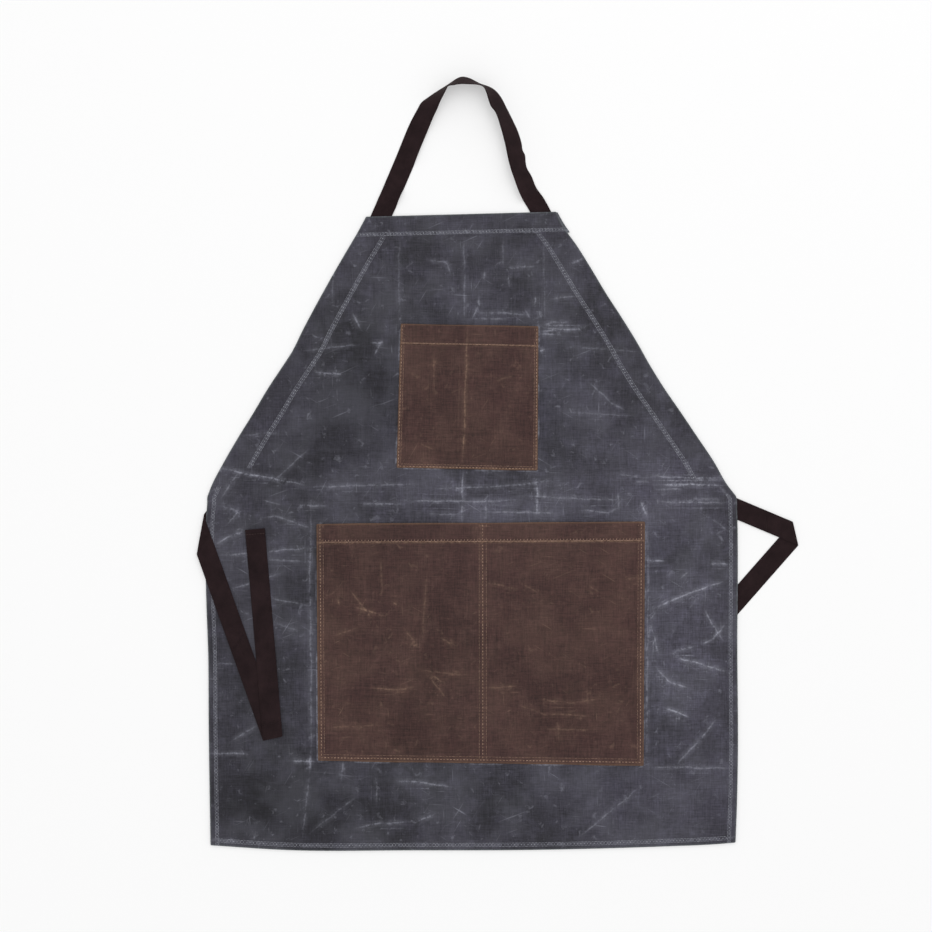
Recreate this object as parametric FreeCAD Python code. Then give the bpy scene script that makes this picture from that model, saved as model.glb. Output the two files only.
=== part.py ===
import FreeCAD, Part
import math
import os

# A butcher's bib apron of waxed canvas, lying flat with its front up: +X to the right,
# +Y towards the neck strap, +Z out of the front. The pieces are drawn about the middle of
# the waist line, in millimetres, and moved together at the end, so that the origin is the
# middle of the bottom of the whole apron's bounding box.

# Materials
cloth_t = 1.0  # waxed canvas
tape_t = 0.8  # cotton tape of the strap and the ties
tape_w = 25.4
thread_w = 0.6
thread_t = 0.3  # height of a seam's thread above the cloth
layer_gap = 0.3  # clear height between layers that move apart
edge_gap = 0.3  # half of the clear slot at a fold line

# Body outline
body_w = 686.0
skirt_h = 457.0  # waist line to bottom edge
bib_h = 368.0  # waist line to the middle of the top edge
bib_top_w = 249.0
bib_top_shift = -13.7  # the bib's top edge lies a little left of the skirt's middle
bib_top_rise = 6.5  # its right end lies a little higher than its left end
waist_gap = 0.15  # half of the clear slot between bib and skirt

# Hems, all turned to the back, and their rows of stitches, measured from the finished edge
top_hem_w = 27.5
top_hem_rows = (22.0, 25.0)
facing_w = 38.0
facing_rows = (30.0, 35.0)
side_hem_w = 13.5
side_hem_rows = (7.0, 11.0)
bottom_hem_w = 12.0
bottom_hem_rows = (5.0, 9.5)
row_margin = 3.0  # from a row's end to the next edge or fold
slot_clear = 0.2  # round a tape where it lies in a hem

# Pockets: sewn down flat on three sides, open towards the neck
pocket_bulge = 5.5  # clear height inside
pocket_flange = 8.0  # flat border that the stitches hold
pocket_slope = 14.0  # run of the wall from the border up to the front
chest_pocket_w = 182.0
chest_pocket_h = 188.0
chest_pocket_x = -6.1
chest_pocket_top = 224.0  # mouth above the waist line
chest_pocket_turn = -1.1  # degrees
chest_band_w = 26.0
chest_pocket_rows = (3.5,)
lower_pocket_w = 426.0
lower_pocket_h = 313.0
lower_pocket_x = 10.1
lower_pocket_drop = 33.0  # mouth below the waist line
lower_band_w = 25.4
lower_pocket_rows = (2.8, 6.8)
band_row = 1.5  # a band's seam above its lower edge
divider_shift = 3.0  # the divider lies right of the lower pocket's middle
divider_w = 13.0
divider_rows = 9.6  # apart

# Left waist tie: root sewn into the side hem, then two folds, lying on the front
left_root_in = 17.6  # root's middle inside the side edge
left_root_drop = 13.0  # and below the waist line
left_tie_runs = (45.7, 282.5, 273.4)
left_tie_headings = (-130.2, -70.4, 94.9)  # degrees from +X

# Right waist tie: root, out past the side edge, one fold, then back under the apron
right_root_in = 16.8
right_root_drop = 8.3
right_tie_runs = (99.0, 502.6)
right_tie_headings = (-22.8, -131.3)
tie_hem_w = 8.0  # turned end of a tie
tie_hem_row = 6.5
tie_row_margin = 1.5  # from the row's ends to the tape's edges
way_clear = 2.0  # between the loose end and the hem that it passes under

# Neck strap: its two ends are sewn behind the top hem, and the loop lies above the bib.
# Each point is (across, up, lean): from the middle of the top edge, and the tape's lean in
# degrees, from lying flat to standing on its outer edge.
strap_tuck = 22.0  # length of an end behind the hem
strap_clear = 1.6  # from the top edge to the strap's own bending line
strap_low_run = 60.0  # length over which a leg comes down from the hem to the table
strap_stations = 36
strap_route = (
    (-105.1, 0.0, 0.0),
    (-85.3, 47.5, 0.0),
    (-68.3, 88.0, 0.0),
    (-52.1, 125.6, 8.0),
    (-39.7, 149.0, 44.0),
    (-24.1, 164.7, 62.0),
    (0.7, 174.0, 70.0),
    (21.5, 169.2, 68.0),
    (33.2, 161.0, 55.0),
    (43.6, 147.0, 42.0),
    (54.7, 122.0, 35.0),
    (66.4, 86.6, 31.0),
    (74.8, 55.3, 24.0),
    (84.6, 30.0, 8.0),
    (101.3, 0.0, 0.0),
)

# Heights of the layers, from the table up
sewn_z = tape_t + layer_gap  # tapes sewn into the hems, above the loose end of a tie
hem_t = sewn_z + tape_t + 0.1  # two turned layers, swollen by the tapes between them
front_z = hem_t + cloth_t
seam_z = front_z + thread_t
over_z = seam_z + layer_gap  # a tie lying on the front
top_z = over_z + tape_t + layer_gap  # a tie folded back over itself
swing_z = (sewn_z + over_z + tape_t) / 2  # bending line of a tie at the side edge
left_fold_z = (over_z + top_z + tape_t) / 2
right_fold_z = (sewn_z + tape_t) / 2

pieces = {}


def flat(x, y):
    return FreeCAD.Vector(x, y, 0)


def heading(degrees):
    return flat(math.cos(math.radians(degrees)), math.sin(math.radians(degrees)))


def left_of(direction):
    return flat(-direction.y, direction.x)


def meet(line, other):
    """Where two lines cross. A line is a pair of a point and a direction."""
    (p, d), (q, e) = line, other
    return p + d * ((q - p).cross(e).z / d.cross(e).z)


def plate(points, z, thickness):
    corners = [flat(p.x, p.y) for p in points]
    face = Part.Face(Part.makePolygon(corners + corners[:1]))
    solid = face.extrude(FreeCAD.Vector(0, 0, thickness))
    solid.translate(FreeCAD.Vector(0, 0, z))
    return solid


def grown(points, margin):
    """The convex outline moved outwards by a margin."""
    middle = sum(points, flat(0, 0)) * (1.0 / len(points))
    lines = []
    for p, q in zip(points, points[1:] + points[:1]):
        along = (q - p).normalize()
        out = left_of(along)
        if out.dot(p - middle) < 0:
            out = out * -1
        lines.append((p + out * margin, along))
    return [meet(lines[i - 1], lines[i]) for i in range(len(lines))]


def row(points, z):
    """A seam's thread along a chain of points, as one flat rod."""
    rods = []
    for p, q in zip(points, points[1:]):
        along = (q - p).normalize() * (thread_w / 2)
        side = left_of(along)
        p, q = p - along, q + along
        rods.append(plate([p + side, q + side, q - side, p - side], z, thread_t))
    return rods[0].fuse(rods[1:]).removeSplitter() if len(rods) > 1 else rods[0]


def group(solids):
    return Part.makeCompound(solids) if len(solids) > 1 else solids[0]


# ---- body outline, counter-clockwise, so that the inside is on each edge's left ----
half_w = body_w / 2
bottom_left, bottom_right = flat(-half_w, -skirt_h), flat(half_w, -skirt_h)
waist_left, waist_right = flat(-half_w, 0), flat(half_w, 0)
top_middle = flat(bib_top_shift, bib_h)
top_left = top_middle - flat(bib_top_w, bib_top_rise) * 0.5
top_right = top_middle + flat(bib_top_w, bib_top_rise) * 0.5
edges = {
    "bottom": (bottom_left, bottom_right),
    "right": (bottom_right, waist_right),
    "bib_right": (waist_right, top_right),
    "top": (top_right, top_left),
    "bib_left": (top_left, waist_left),
    "left": (waist_left, bottom_left),
}


def inset(edge, distance):
    """The line that runs inside an edge at a distance from it."""
    p, q = edges[edge]
    along = (q - p).normalize()
    return p + left_of(along) * distance, along


def waist(y):
    return flat(0, y), flat(1, 0)


def between(first, second, *crossings):
    """Where two lines cross two others, in order round the strip that they bound."""
    start, end = crossings
    return [meet(first, start), meet(first, end), meet(second, end), meet(second, start)]


def make_panels():
    low, high = waist(-waist_gap), waist(waist_gap)
    skirt = between(inset("bottom", 0), low, inset("left", 0), inset("right", 0))
    bib = between(high, inset("top", 0), inset("bib_left", 0), inset("bib_right", 0))
    pieces["skirt_panel"] = plate(skirt, hem_t, cloth_t)
    pieces["bib_panel"] = plate(bib, hem_t, cloth_t)


def make_hems():
    top_line = inset("top", top_hem_w)
    bottom_line = inset("bottom", bottom_hem_w)
    top = between(inset("top", 0), top_line, inset("bib_right", 0), inset("bib_left", 0))
    bottom = between(inset("bottom", 0), bottom_line, inset("left", 0), inset("right", 0))
    pieces["top_hem"] = plate(top, 0, hem_t)
    pieces["bottom_hem"] = plate(bottom, 0, hem_t)
    for side in ("left", "right"):
        facing_edge = "bib_" + side
        facing = between(inset(facing_edge, 0), inset(facing_edge, facing_w), top_line, waist(waist_gap))
        hem = between(inset(side, 0), inset(side, side_hem_w), waist(-waist_gap), bottom_line)
        pieces["bib_facing_" + side] = plate(facing, 0, hem_t)
        pieces["side_hem_" + side] = plate(hem, 0, hem_t)


def make_hem_rows():
    margin_left, margin_right = inset("left", row_margin), inset("right", row_margin)
    bib_margin_left, bib_margin_right = inset("bib_left", row_margin), inset("bib_right", row_margin)
    top = [[meet(inset("top", d), bib_margin_left), meet(inset("top", d), bib_margin_right)]
           for d in top_hem_rows]
    bottom = [[meet(inset("bottom", d), margin_left), meet(inset("bottom", d), margin_right)]
              for d in bottom_hem_rows]
    pieces["top_hem_stitching"] = group([row(ends, front_z) for ends in top])
    pieces["bottom_hem_stitching"] = group([row(ends, front_z) for ends in bottom])
    top_line, bottom_line = inset("top", top_hem_w), inset("bottom", bottom_hem_w)
    for side in ("left", "right"):
        facing_edge = "bib_" + side
        facing = [[meet(top_line, inset(facing_edge, d)), meet(waist(row_margin), inset(facing_edge, d))]
                  for d in facing_rows]
        hem = [[meet(waist(-row_margin), inset(side, d)), meet(bottom_line, inset(side, d))]
               for d in side_hem_rows]
        pieces["bib_%s_stitching" % side] = group([row(ends, front_z) for ends in facing])
        pieces["side_%s_stitching" % side] = group([row(ends, front_z) for ends in hem])


# ---- pockets ----
def pocket_profile(width, valleys, lift):
    """One face of the pocket cut across its width, as (across, height) points from the left
    border to the right one, moved up by lift."""
    low, high = front_z + lift, front_z + pocket_bulge + lift
    points = [(-width / 2, low)]
    starts = [-width / 2 + pocket_flange] + [v + divider_w / 2 for v in valleys]
    ends = [v - divider_w / 2 for v in valleys] + [width / 2 - pocket_flange]
    for start, end in zip(starts, ends):
        points += [(start, low), (start + pocket_slope, high), (end - pocket_slope, high), (end, low)]
    return points + [(width / 2, low)]


def prism_across(width, valleys, lift, y_from, y_to):
    """Everything under one face of the pocket, between two places along Y."""
    line = [(-width / 2, 0)] + pocket_profile(width, valleys, lift) + [(width / 2, 0)]
    corners = [FreeCAD.Vector(x, y_from, z) for x, z in line]
    face = Part.Face(Part.makePolygon(corners + corners[:1]))
    return face.extrude(FreeCAD.Vector(0, y_to - y_from, 0))


def prism_along(width, height, lift):
    """Everything under one face of the pocket seen from its side: low at the sewn bottom."""
    low, high = front_z + lift, front_z + pocket_bulge + lift
    bottom, mouth = -height / 2, height / 2
    start = bottom + pocket_flange
    line = [(bottom, 0), (bottom, low), (start, low), (start + pocket_slope, high), (mouth, high), (mouth, 0)]
    corners = [FreeCAD.Vector(-width / 2, y, z) for y, z in line]
    face = Part.Face(Part.makePolygon(corners + corners[:1]))
    return face.extrude(FreeCAD.Vector(width, 0, 0))


def under_face(width, height, valleys, lift):
    across = prism_across(width, valleys, lift, -height / 2, height / 2)
    return across.common(prism_along(width, height, lift))


def make_pocket(name, width, height, band_w, rows, place, valleys=()):
    """One pocket about its own middle, its mouth band turned to the outside, and its seams."""
    outside = under_face(width, height, valleys, cloth_t)
    corners = [flat(x * width, y * height) for x, y in ((-1, -1), (1, -1), (1, 1), (-1, 1))]
    cloth = outside.cut(under_face(width, height, valleys, 0)).cut(plate(corners, 0, front_z))
    band_low, mouth = height / 2 - band_w, height / 2
    band = prism_across(width, valleys, 2 * cloth_t, band_low, mouth)
    band = band.cut(prism_across(width, valleys, cloth_t, band_low, mouth))
    border_z, band_z = front_z + cloth_t, front_z + 2 * cloth_t
    seam = []
    for d in rows:
        x, bottom, top = width / 2 - d, -height / 2 + d, band_low - thread_w
        seam.append(row([flat(-x, top), flat(-x, bottom), flat(x, bottom), flat(x, top)], border_z))
        seam += [row([flat(s * x, band_low + row_margin), flat(s * x, mouth)], band_z) for s in (-1, 1)]
    # the band's own seam is drawn where the front is level, between the sloping walls
    starts = [-width / 2 + pocket_flange] + [v + divider_w / 2 for v in valleys]
    ends = [v - divider_w / 2 for v in valleys] + [width / 2 - pocket_flange]
    y = band_low + band_row
    band_seam = [
        row([flat(start + pocket_slope, y), flat(end - pocket_slope, y)], band_z + pocket_bulge)
        for start, end in zip(starts, ends)
    ]
    made = {
        name: cloth,
        name + "_band": band,
        name + "_stitching": group(seam),
        name + "_band_stitching": group(band_seam),
    }
    for v in valleys:
        bottom = -height / 2 + max(rows) + row_margin
        lines = []
        for x in (v - divider_rows / 2, v + divider_rows / 2):
            lines.append(row([flat(x, band_low - row_margin), flat(x, bottom)], border_z))
            lines.append(row([flat(x, band_low + row_margin), flat(x, mouth)], band_z))
        made[name + "_divider_stitching"] = group(lines)
    for key, shape in made.items():
        shape.Placement = place.multiply(shape.Placement)
        pieces[key] = shape


def make_pockets():
    turn = FreeCAD.Rotation(FreeCAD.Vector(0, 0, 1), chest_pocket_turn)
    chest_middle = FreeCAD.Vector(chest_pocket_x, chest_pocket_top - chest_pocket_h / 2, 0)
    make_pocket("chest_pocket", chest_pocket_w, chest_pocket_h, chest_band_w, chest_pocket_rows,
                FreeCAD.Placement(chest_middle, turn))
    lower_middle = FreeCAD.Vector(lower_pocket_x, -lower_pocket_drop - lower_pocket_h / 2, 0)
    make_pocket("lower_pocket", lower_pocket_w, lower_pocket_h, lower_band_w, lower_pocket_rows,
                FreeCAD.Placement(lower_middle, FreeCAD.Rotation()), valleys=(divider_shift,))


# ---- waist ties ----
def chain_of(start, runs, headings):
    points = [start]
    for run, degrees in zip(runs, headings):
        points.append(points[-1] + heading(degrees) * run)
    return points


def fold_line(point, before, after):
    """The crease of a tape that arrives with one heading and leaves with another."""
    return point, (heading(before) + heading(after)).normalize()


def square_cut(point, degrees):
    return point, left_of(heading(degrees))


def moved(line, towards, distance):
    """A cut line moved squarely by a distance, to the side where a point lies."""
    point, along = line
    side = left_of(along)
    if side.dot(towards - point) < 0:
        side = side * -1
    return point + side * distance, along


def tape(start, degrees, cut_from, cut_to):
    """Outline of a straight length of tape between two cuts across it."""
    along = heading(degrees)
    side = left_of(along) * (tape_w / 2)
    return between((start + side, along), (start - side, along), cut_from, cut_to)


def tie_hem(end, degrees):
    back = end - heading(degrees) * tie_hem_w
    return tape(end, degrees, square_cut(back, degrees), square_cut(end, degrees))


def tie_hem_seam(end, degrees, z):
    middle = end - heading(degrees) * tie_hem_row
    side = left_of(heading(degrees)) * (tape_w / 2 - tie_row_margin)
    return row([middle + side, middle - side], z)


def make_left_tie():
    root = flat(-half_w + left_root_in, -left_root_drop)
    root, bend, turn, end = chain_of(root, left_tie_runs, left_tie_headings)
    first, second, third = left_tie_headings
    bend_line, turn_line = fold_line(bend, first, second), fold_line(turn, second, third)
    root_tape = tape(root, first, square_cut(root, first), moved(bend_line, root, edge_gap))
    middle_tape = tape(bend, second, moved(bend_line, turn, edge_gap), moved(turn_line, bend, edge_gap))
    end_tape = tape(turn, third, moved(turn_line, end, edge_gap), square_cut(end, third))
    pieces["left_tie_root"] = plate(root_tape, sewn_z, tape_t)
    pieces["left_tie_middle"] = plate(middle_tape, over_z, tape_t)
    pieces["left_tie_end"] = plate(end_tape, top_z, tape_t)
    pieces["left_tie_end_hem"] = plate(tie_hem(end, third), top_z - tape_t, tape_t)
    pieces["left_tie_end_stitching"] = tie_hem_seam(end, third, top_z + tape_t)
    slot = plate(grown(root_tape, slot_clear), sewn_z, hem_t)
    pieces["side_hem_left"] = pieces["side_hem_left"].cut(slot)
    return bend, bend_line[1], turn, turn_line[1], end


def make_right_tie():
    root = flat(half_w - right_root_in, -right_root_drop)
    root, turn, end = chain_of(root, right_tie_runs, right_tie_headings)
    first, second = right_tie_headings
    swing_line = (flat(half_w + 2 * edge_gap, 0), flat(0, -1))
    turn_line = fold_line(turn, first, second)
    below_waist = waist(-row_margin)
    root_tape = tape(root, first, square_cut(root, first), moved(swing_line, root, edge_gap))
    middle_tape = tape(root, first, moved(swing_line, turn, edge_gap), moved(turn_line, root, edge_gap))
    end_tape = tape(turn, second, moved(turn_line, end, edge_gap), square_cut(end, second))
    root_plate = plate(root_tape, sewn_z, tape_t)
    above = [flat(0, below_waist[0].y), flat(body_w, below_waist[0].y), flat(body_w, bib_h), flat(0, bib_h)]
    pieces["right_tie_root"] = root_plate.cut(plate(above, 0, front_z))
    pieces["right_tie_middle"] = plate(middle_tape, sewn_z, tape_t)
    pieces["right_tie_end"] = plate(end_tape, 0, tape_t)
    pieces["right_tie_end_hem"] = plate(tie_hem(end, second), tape_t, tape_t)
    pieces["right_tie_end_stitching"] = tie_hem_seam(end, second, 2 * tape_t)
    slot = plate(grown(root_tape, slot_clear), sewn_z, hem_t)
    way_through = plate(grown(end_tape, way_clear), 0, sewn_z)
    pieces["side_hem_right"] = pieces["side_hem_right"].cut(slot).cut(way_through)
    pieces["bottom_hem"] = pieces["bottom_hem"].cut(way_through)
    return meet((root, heading(first)), swing_line), turn, turn_line[1], end


# ---- neck strap ----
def strap_section(middle, across, z, lean, width):
    """The tape's cross-section: across is the level direction from outer to inner edge."""
    lean = math.radians(lean)
    wide = across * math.cos(lean) + FreeCAD.Vector(0, 0, math.sin(lean))
    thick = FreeCAD.Vector(0, 0, math.cos(lean)) - across * math.sin(lean)
    rise = width / 2 * math.sin(lean) + tape_t / 2 * math.cos(lean)
    middle = FreeCAD.Vector(middle.x, middle.y, z + rise)
    corners = [
        middle + wide * (s * width / 2) + thick * (t * tape_t / 2)
        for s, t in ((-1, -1), (1, -1), (1, 1), (-1, 1))
    ]
    return Part.makePolygon(corners + corners[:1])


def make_neck_strap():
    top_along = (top_right - top_left).normalize()
    out = left_of(top_along)
    points = [top_middle + top_along * across + out * (up + strap_clear) for across, up, _ in strap_route]
    curve = Part.BSplineCurve()
    curve.interpolate(points)
    knots = [curve.parameter(p) for p in points]
    length = curve.length()
    sections = []
    for i in range(strap_stations + 1):
        u = knots[0] + (knots[-1] - knots[0]) * i / strap_stations
        k = max(j for j in range(len(knots) - 1) if knots[j] <= u + 1e-9)
        share = (u - knots[k]) / (knots[k + 1] - knots[k])
        lean = strap_route[k][2] * (1 - share) + strap_route[k + 1][2] * share
        run = curve.length(knots[0], u) if i else 0.0
        z = sewn_z * max(0.0, 1 - min(run, length - run) / strap_low_run)
        tangent = FreeCAD.Vector(*curve.tangent(u)[0])
        across, width = left_of(tangent) * -1, tape_w
        if i in (0, strap_stations):
            # the ends are cut along the top edge
            across = top_along if i == 0 else top_along * -1
            width = tape_w / abs(tangent.cross(top_along).z)
        sections.append(strap_section(curve.value(u), across, z, lean, width))
    pieces["neck_strap"] = Part.makeLoft(sections, True, True)
    for name, u in (("left", knots[0]), ("right", knots[-1])):
        tangent = FreeCAD.Vector(*curve.tangent(u)[0])
        degrees = math.degrees(math.atan2(tangent.y, tangent.x))
        start = curve.value(u)
        inner, outer = (top_middle - out * strap_tuck, top_along), (top_middle + out * edge_gap, top_along)
        outline = tape(start, degrees, inner, outer)
        pieces["neck_strap_end_" + name] = plate(outline, sewn_z, tape_t)
        slot = plate(grown(outline, slot_clear), sewn_z, hem_t)
        pieces["top_hem"] = pieces["top_hem"].cut(slot)
        facing = "bib_facing_" + name
        pieces[facing] = pieces[facing].cut(slot)
    print("neck strap length", round(length, 1))
    return top_middle + out * strap_clear, top_along, curve.value((knots[0] + knots[-1]) / 2)


make_panels()
make_hems()
make_hem_rows()
make_pockets()
left_bend, left_bend_along, left_turn, left_turn_along, left_end = make_left_tie()
right_swing, right_turn, right_turn_along, right_end = make_right_tie()
strap_line, strap_along, strap_top = make_neck_strap()

box = Part.makeCompound(list(pieces.values())).BoundBox
shift = FreeCAD.Vector(-box.Center.x, -box.Center.y, -box.ZMin)
os.makedirs("parts", exist_ok=True)
for node, shape in pieces.items():
    shape.translate(shift)
    if not shape.isValid() or shape.Volume <= 0:
        raise ValueError(node + " is not a sound solid")
    shape.exportStep("parts/%s.step" % node)

print("pieces", len(pieces), "size", round(box.XLength, 2), round(box.YLength, 2), round(box.ZLength, 2))
places = {
    "waist": FreeCAD.Vector(0, 0, front_z),
    "strap_line": strap_line + FreeCAD.Vector(0, 0, sewn_z + tape_t / 2),
    "strap_top": strap_top,
    "left_bend": left_bend + FreeCAD.Vector(0, 0, swing_z),
    "left_turn": left_turn + FreeCAD.Vector(0, 0, left_fold_z),
    "left_end": left_end + FreeCAD.Vector(0, 0, top_z),
    "right_swing": right_swing + FreeCAD.Vector(0, 0, swing_z),
    "right_turn": right_turn + FreeCAD.Vector(0, 0, right_fold_z),
    "right_end": right_end,
    "bottom_middle": FreeCAD.Vector(0, -skirt_h, 0),
    "chest_pocket": FreeCAD.Vector(chest_pocket_x, chest_pocket_top - chest_pocket_h / 2, front_z),
    "lower_pocket": FreeCAD.Vector(lower_pocket_x, -lower_pocket_drop - lower_pocket_h / 2, front_z),
}
for name, place in places.items():
    place = place + shift
    print(name, round(place.x, 3), round(place.y, 3), round(place.z, 3))
axes = {"strap": strap_along, "left_bend": left_bend_along, "left_turn": left_turn_along,
        "right_turn": right_turn_along}
for name, axis in axes.items():
    print(name, "axis", round(axis.x, 5), round(axis.y, 5))
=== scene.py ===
# %% [markdown]
# # A butcher apron of waxed canvas
# The apron lies flat on a table with its front up: a bib and skirt in one charcoal canvas, two brown
# pockets, and a neck strap and two waist ties of dark cotton tape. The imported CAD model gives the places
# and sizes. Each cloth piece is built here as a closed mesh of its own, with its hems, its stitches and its
# wear.

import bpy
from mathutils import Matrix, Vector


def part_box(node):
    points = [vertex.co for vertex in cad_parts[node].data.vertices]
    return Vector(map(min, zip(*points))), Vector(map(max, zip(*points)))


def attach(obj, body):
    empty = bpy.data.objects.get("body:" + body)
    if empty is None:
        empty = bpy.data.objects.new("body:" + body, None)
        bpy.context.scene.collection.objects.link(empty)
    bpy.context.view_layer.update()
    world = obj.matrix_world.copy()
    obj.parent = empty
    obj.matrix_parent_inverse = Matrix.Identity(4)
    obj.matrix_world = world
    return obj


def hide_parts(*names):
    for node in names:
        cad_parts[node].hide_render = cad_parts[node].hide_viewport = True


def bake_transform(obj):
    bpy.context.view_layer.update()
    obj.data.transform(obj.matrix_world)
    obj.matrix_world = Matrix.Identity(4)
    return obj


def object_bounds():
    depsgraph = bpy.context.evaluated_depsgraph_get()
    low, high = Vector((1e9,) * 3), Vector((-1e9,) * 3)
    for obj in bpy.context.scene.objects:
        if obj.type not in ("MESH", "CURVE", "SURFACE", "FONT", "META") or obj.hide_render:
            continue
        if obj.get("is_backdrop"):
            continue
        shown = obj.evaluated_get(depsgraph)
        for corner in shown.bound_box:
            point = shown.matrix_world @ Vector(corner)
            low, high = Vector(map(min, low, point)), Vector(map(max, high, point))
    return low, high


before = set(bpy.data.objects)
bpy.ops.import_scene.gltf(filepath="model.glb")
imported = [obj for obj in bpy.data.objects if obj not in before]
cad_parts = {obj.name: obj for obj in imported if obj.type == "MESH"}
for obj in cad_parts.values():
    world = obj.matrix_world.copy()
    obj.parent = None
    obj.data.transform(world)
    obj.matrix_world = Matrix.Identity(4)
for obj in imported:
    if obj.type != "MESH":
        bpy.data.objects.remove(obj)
cad_box = [list(corner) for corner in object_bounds()]

import math

import bpy
import numpy as np
from mathutils import Vector, noise

MM = 0.001
print("CAD box in mm:", [[round(c / MM, 1) for c in corner] for corner in cad_box])

# %% [markdown]
# ## Apron millimetres
# Sewing is measured in millimetres from the middle of the waist line: u across, v towards the neck, z up
# from the table. The CAD panels give that middle, the half width and the lengths. Every point below is
# written in those terms and moved into the frame at the end, so that one number always means one thing.

# %% Read the sizes from the CAD panels
skirt_low, skirt_high = (np.array(corner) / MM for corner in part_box("skirt_panel"))
bib_low = np.array(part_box("bib_panel")[0]) / MM
waist = np.array([(skirt_low[0] + skirt_high[0]) / 2, (skirt_high[1] + bib_low[1]) / 2, 0.0])
half_width = (skirt_high[0] - skirt_low[0]) / 2
skirt_length = waist[1] - skirt_low[1]
bib_points = np.array([v.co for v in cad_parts["bib_panel"].data.vertices]) / MM - waist
top_right = bib_points[np.argmax(bib_points[:, 1])][:2]
upper = bib_points[bib_points[:, 1] > top_right[1] - 12]
top_left = upper[np.argmin(upper[:, 0])][:2]
bib_length = (top_left[1] + top_right[1]) / 2
print("half width", round(half_width, 1), "skirt", round(skirt_length, 1), "bib corners", top_left, top_right)

# %% [markdown]
# ## Camera, table and light
# A garment is pictured from straight above with a long lens, so that its edges stay square. The table is
# white acrylic, faintly lit from below as for catalogue pictures, so that shadows stay light. One very
# large light stands towards the neck end and to the right, and a white room fills the rest: hems and pocket
# edges then show as fine lines and the wax doesn't glare. A smaller light would draw the hems harder, but
# the strap would cast a dark shadow into the neck opening.

# %% Camera
camera_data = bpy.data.cameras.new("camera")
camera = bpy.data.objects.new("camera", camera_data)
bpy.context.scene.collection.objects.link(camera)
camera_height = 2.5
view_width = 1.2132
camera_data.sensor_width = 36.0
camera_data.lens = camera_data.sensor_width * camera_height / view_width
camera.location = (-0.03985, -0.00528, camera_height)
bpy.context.scene.camera = camera
print("lens", round(camera_data.lens, 1), "mm")


# %% A node helper and a colour helper
def add(tree, kind, inputs=(), **settings):
    """Adds a shader node with its settings. An input gets a link if it is given a socket, or a node, which
    stands for its first output, and else a value."""
    node = tree.nodes.new("ShaderNode" + kind)
    for name, value in settings.items():
        setattr(node, name, value)
    for name, value in dict(inputs).items():
        if isinstance(value, bpy.types.Node):
            value = value.outputs[0]
        if isinstance(value, bpy.types.NodeSocket):
            tree.links.new(value, node.inputs[name])
        else:
            node.inputs[name].default_value = value
    return node


def colour(hex_code):
    """A linear colour from an sRGB hex code."""
    parts = [int(hex_code[i:i + 2], 16) / 255 for i in (1, 3, 5)]
    return (*[c / 12.92 if c <= 0.04045 else ((c + 0.055) / 1.055) ** 2.4 for c in parts], 1.0)


def span(low, high, to_low=0.0, to_high=1.0):
    """The settings of a map range: from low..high to to_low..to_high."""
    return {"From Min": low, "From Max": high, "To Min": to_low, "To Max": to_high}


def new_material(name):
    """A material with an empty node tree, and that tree."""
    material = bpy.data.materials.new(name)
    material.use_nodes = True
    material.node_tree.nodes.clear()
    return material, material.node_tree


# %% Table and lights
white_acrylic, tree = new_material("lit_white_acrylic_table")
finish = add(tree, "BsdfPrincipled", {
    "Base Color": colour("#cfcfcf"), "Roughness": 0.8, "IOR": 1.49, "Emission Color": colour("#ffffff"),
    "Emission Strength": 0.315})
add(tree, "OutputMaterial", {"Surface": finish})
table_mesh = bpy.data.meshes.new("table")
reach = 6.0
corners = [(-reach, -reach, 0), (reach, -reach, 0), (reach, reach, 0), (-reach, reach, 0)]
table_mesh.from_pydata(corners, [], [(0, 1, 2, 3)])
table_mesh.materials.append(white_acrylic)
table = bpy.data.objects.new("table", table_mesh)
table.location = (0, 0, -0.0002)
bpy.context.scene.collection.objects.link(table)
table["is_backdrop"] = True

room = bpy.data.worlds.new("white_room")
room.use_nodes = True
room.node_tree.nodes["Background"].inputs["Color"].default_value = colour("#ffffff")
room.node_tree.nodes["Background"].inputs["Strength"].default_value = 0.88
bpy.context.scene.world = room

for name, place, size, power in (
    ("window_light", (0.9, 2.0, 3.4), 3.6, 36.0),
    ("fill_light", (-1.6, -0.8, 2.2), 2.0, 2.0),
):
    lamp = bpy.data.lights.new(name, "AREA")
    lamp.size = size
    lamp.energy = power
    lamp_object = bpy.data.objects.new(name, lamp)
    lamp_object.location = place
    lamp_object.rotation_euler = (-Vector(place)).to_track_quat("-Z", "Y").to_euler()
    bpy.context.scene.collection.objects.link(lamp_object)
bpy.context.scene.view_settings.view_transform = "Standard"
print("table and lights made")

# %% [markdown]
# ## Waxed canvas
# The real cloth is cotton duck, a close plain weave of about 0.6 mm threads, soaked in wax. Wax makes it
# dark and slightly greasy to the eye, and it turns pale wherever the cloth has been bent: fold lines,
# scratches, the raised edges of hems and pockets. So the colour is built in the same order. First come slow
# clouds of darker and lighter dye, then streaks along the warp and the weft, and over them the pale bloom:
# fine scratches, the known fold marks, and wear near every edge. The pale marks could be painted on an
# image; here they are worked out from distances stored on the mesh, so that they stay sharp at any size.


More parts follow.
